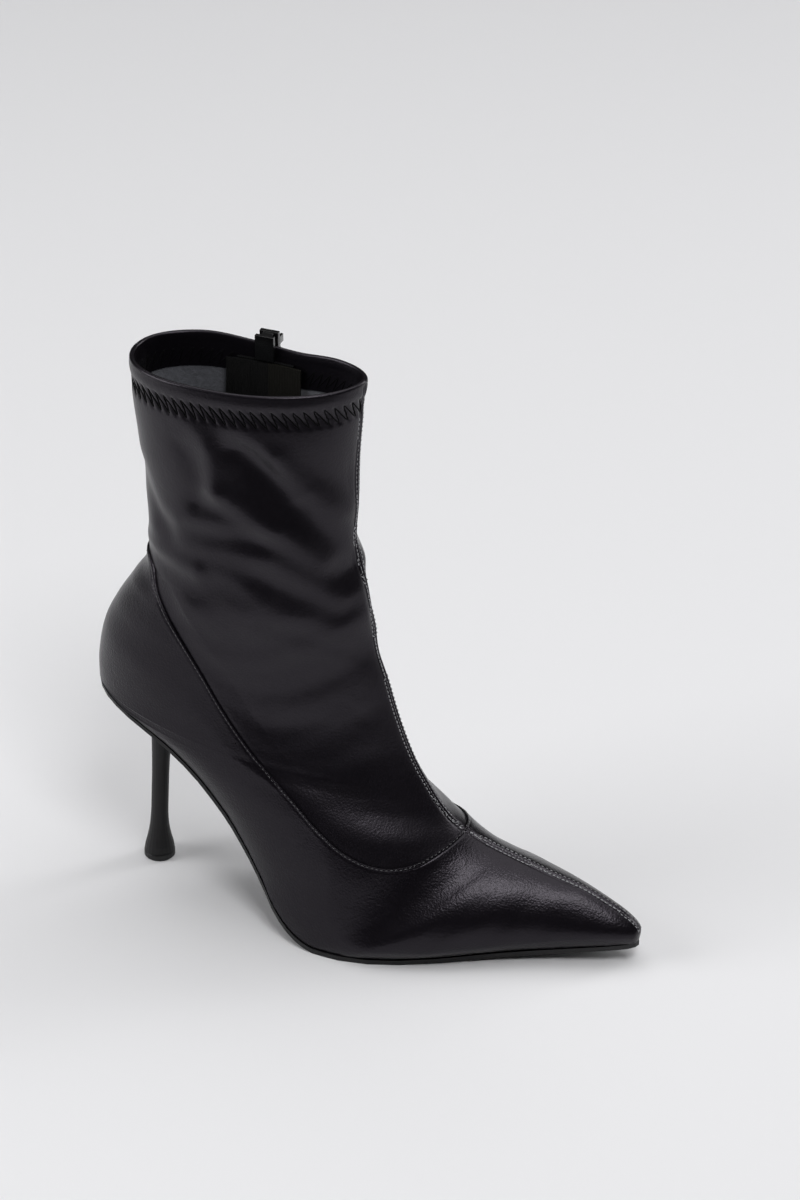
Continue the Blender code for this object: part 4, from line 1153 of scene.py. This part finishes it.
# The zip's tape is woven polyester, sewn in behind the opening. The guard behind it is a strip of
# dark satin with a brownish one beside it, sewn along one edge.
TAPE_DARK, TAPE_LIGHT = (0.003, 0.003, 0.0035, 1.0), (0.012, 0.012, 0.013, 1.0)
SATIN_DARK, SATIN_LIGHT = (0.006, 0.0056, 0.004, 1.0), (0.014, 0.013, 0.0095, 1.0)
SATIN_PLAIN, BROWN_FROM = (0.003, 0.003, 0.0032, 1.0), 70.5


def woven(name, across, along, rough):
    """A cloth's finish, and the share of light that its two sets of threads leave."""
    finish = Finish(name, {"Specular IOR Level": 0.12, "Roughness": rough})
    where = finish.place()
    sets = []
    for bands, scale in (("Z", along), ("X", across)):
        values = {"Vector": where, "Scale": scale, "Distortion": 0.4}
        sets.append(finish.node("ShaderNodeTexWave", {"bands_direction": bands}, values))
    weft, warp = sets
    finish.feed("Normal", finish.bump(weft + warp, 0.0003, 0.6))
    return finish, weft * warp


tape, weave = woven("woven_tape", 380.0, 300.0, 0.8)
tape.feed("Base Color", tape.mix(weave, TAPE_DARK, TAPE_LIGHT))
tape.wear(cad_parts["zip_tape"])
guard, weave = woven("guard_satin", 420.0, 900.0, 0.55)
across = guard.node("ShaderNodeSeparateXYZ", {}, {"Vector": guard.place()}, "X")
brownish = guard.mix(weave, SATIN_DARK, SATIN_LIGHT)
in_front = across * 1000.0 + origin[0] > BROWN_FROM
guard.feed("Base Color", guard.mix(in_front, SATIN_PLAIN, brownish))
guard.wear(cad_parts["zip_guard"])

# The zip's coil: two springs of nylon wire sewn along the tape's edges, meshed from the foot to the
# slider, standing for the plain strip of teeth.
COIL_PITCH, COIL_HALF, COIL_APART, COIL_DEEP, WIRE = 1.25, 1.28, 0.98, 0.62, 0.30
COIL_LOW, COIL_HIGH, COIL_STEPS = 137.2, 240.2, 12
wall = skin(np.linspace(0.2, 8.0, 400)[:, None], np.linspace(0.4, 1.7, 80), 1, -1.25)
wall = wall.reshape(-1, 3)
wall_tree = KDTree(len(wall))
for k, spot in enumerate(wall):
    wall_tree.insert((spot[0], 0.0, spot[2]), k)
wall_tree.balance()


def wall_y(z):
    """How far to the inner side the coil's middle lies."""
    near = wall_tree.find_n((float(zip_x(z)), 0.0, z), 4)
    weight = np.array([1.0 / (0.05 + hit[2]) for hit in near])
    return float((weight * np.array([wall[hit[1]][1] for hit in near])).sum() / weight.sum())


runs = []
coil_turns = int((COIL_HIGH - COIL_LOW) / COIL_PITCH)
turned = np.arange(coil_turns * COIL_STEPS + 1) * 2.0 * math.pi / COIL_STEPS
height = COIL_LOW + COIL_PITCH * turned / (2.0 * math.pi)
stations = np.linspace(136.0, 242.0, 60)
depth = np.interp(height, stations, [wall_y(z) for z in stations])
for hand, phase in ((-1, math.pi), (1, 0.0)):
    outwards, round_about = np.cos(turned + phase), np.sin(turned + phase)
    x = zip_x(height) + hand * COIL_APART + hand * COIL_HALF * outwards
    path = np.stack((x, depth + COIL_DEEP * round_about, height), -1)
    ups = np.stack((outwards * hand, round_about, np.zeros(len(turned))), -1)
    runs.append((path[None], ups[None]))
NYLON = {"Specular IOR Level": 0.55}
NYLON_DARK, NYLON_LIGHT = (0.005, 0.005, 0.006), (0.016, 0.016, 0.018)
coil_finish = mottled("nylon_coil", NYLON, (600.0,), NYLON_DARK, NYLON_LIGHT, (0.24, 0.14))
coil = thread("zip_coil", runs, WIRE, 0.0, coil_finish)
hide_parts("zip_teeth")

# The slider and its pull: zinc castings in glossy black enamel, every edge rounded. The pull hangs
# on a pin through the slider's two lugs and turns on it.
enamel = mottled(
    "black_enamel",
    {"Specular IOR Level": 0.45, "Coat Weight": 0.35, "Coat Roughness": 0.06},
    (220.0,),
    (0.003, 0.003, 0.0033),
    (0.008, 0.008, 0.0085),
    (0.16, 0.16),
    (0.0002, 0.15),
)
for node, body, rounding in (("zip_slider", "boot", 0.0006), ("zip_pull", "pull", 0.0003)):
    bpy.ops.object.select_all(action="DESELECT")
    bpy.context.view_layer.objects.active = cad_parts[node]
    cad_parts[node].select_set(True)
    bpy.ops.object.duplicate()
    casting = bpy.context.object
    casting.name = node + "_casting"
    bpy.ops.object.mode_set(mode="EDIT")
    bpy.ops.mesh.select_all(action="SELECT")
    bpy.ops.mesh.remove_doubles(threshold=0.00001)
    bpy.ops.mesh.dissolve_limited(angle_limit=math.radians(4.0))
    bpy.ops.mesh.select_all(action="DESELECT")
    bpy.ops.mesh.select_mode(type="EDGE")
    bpy.ops.mesh.edges_select_sharp(sharpness=math.radians(50.0))
    bpy.ops.mesh.bevel(offset=rounding, segments=3, affect="EDGES", clamp_overlap=True)
    bpy.ops.object.mode_set(mode="OBJECT")
    bpy.ops.object.shade_smooth_by_angle(angle=math.radians(35.0))
    enamel.wear(casting)
    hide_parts(node)
    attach(casting, body)
    bpy.ops.object.select_all(action="DESELECT")
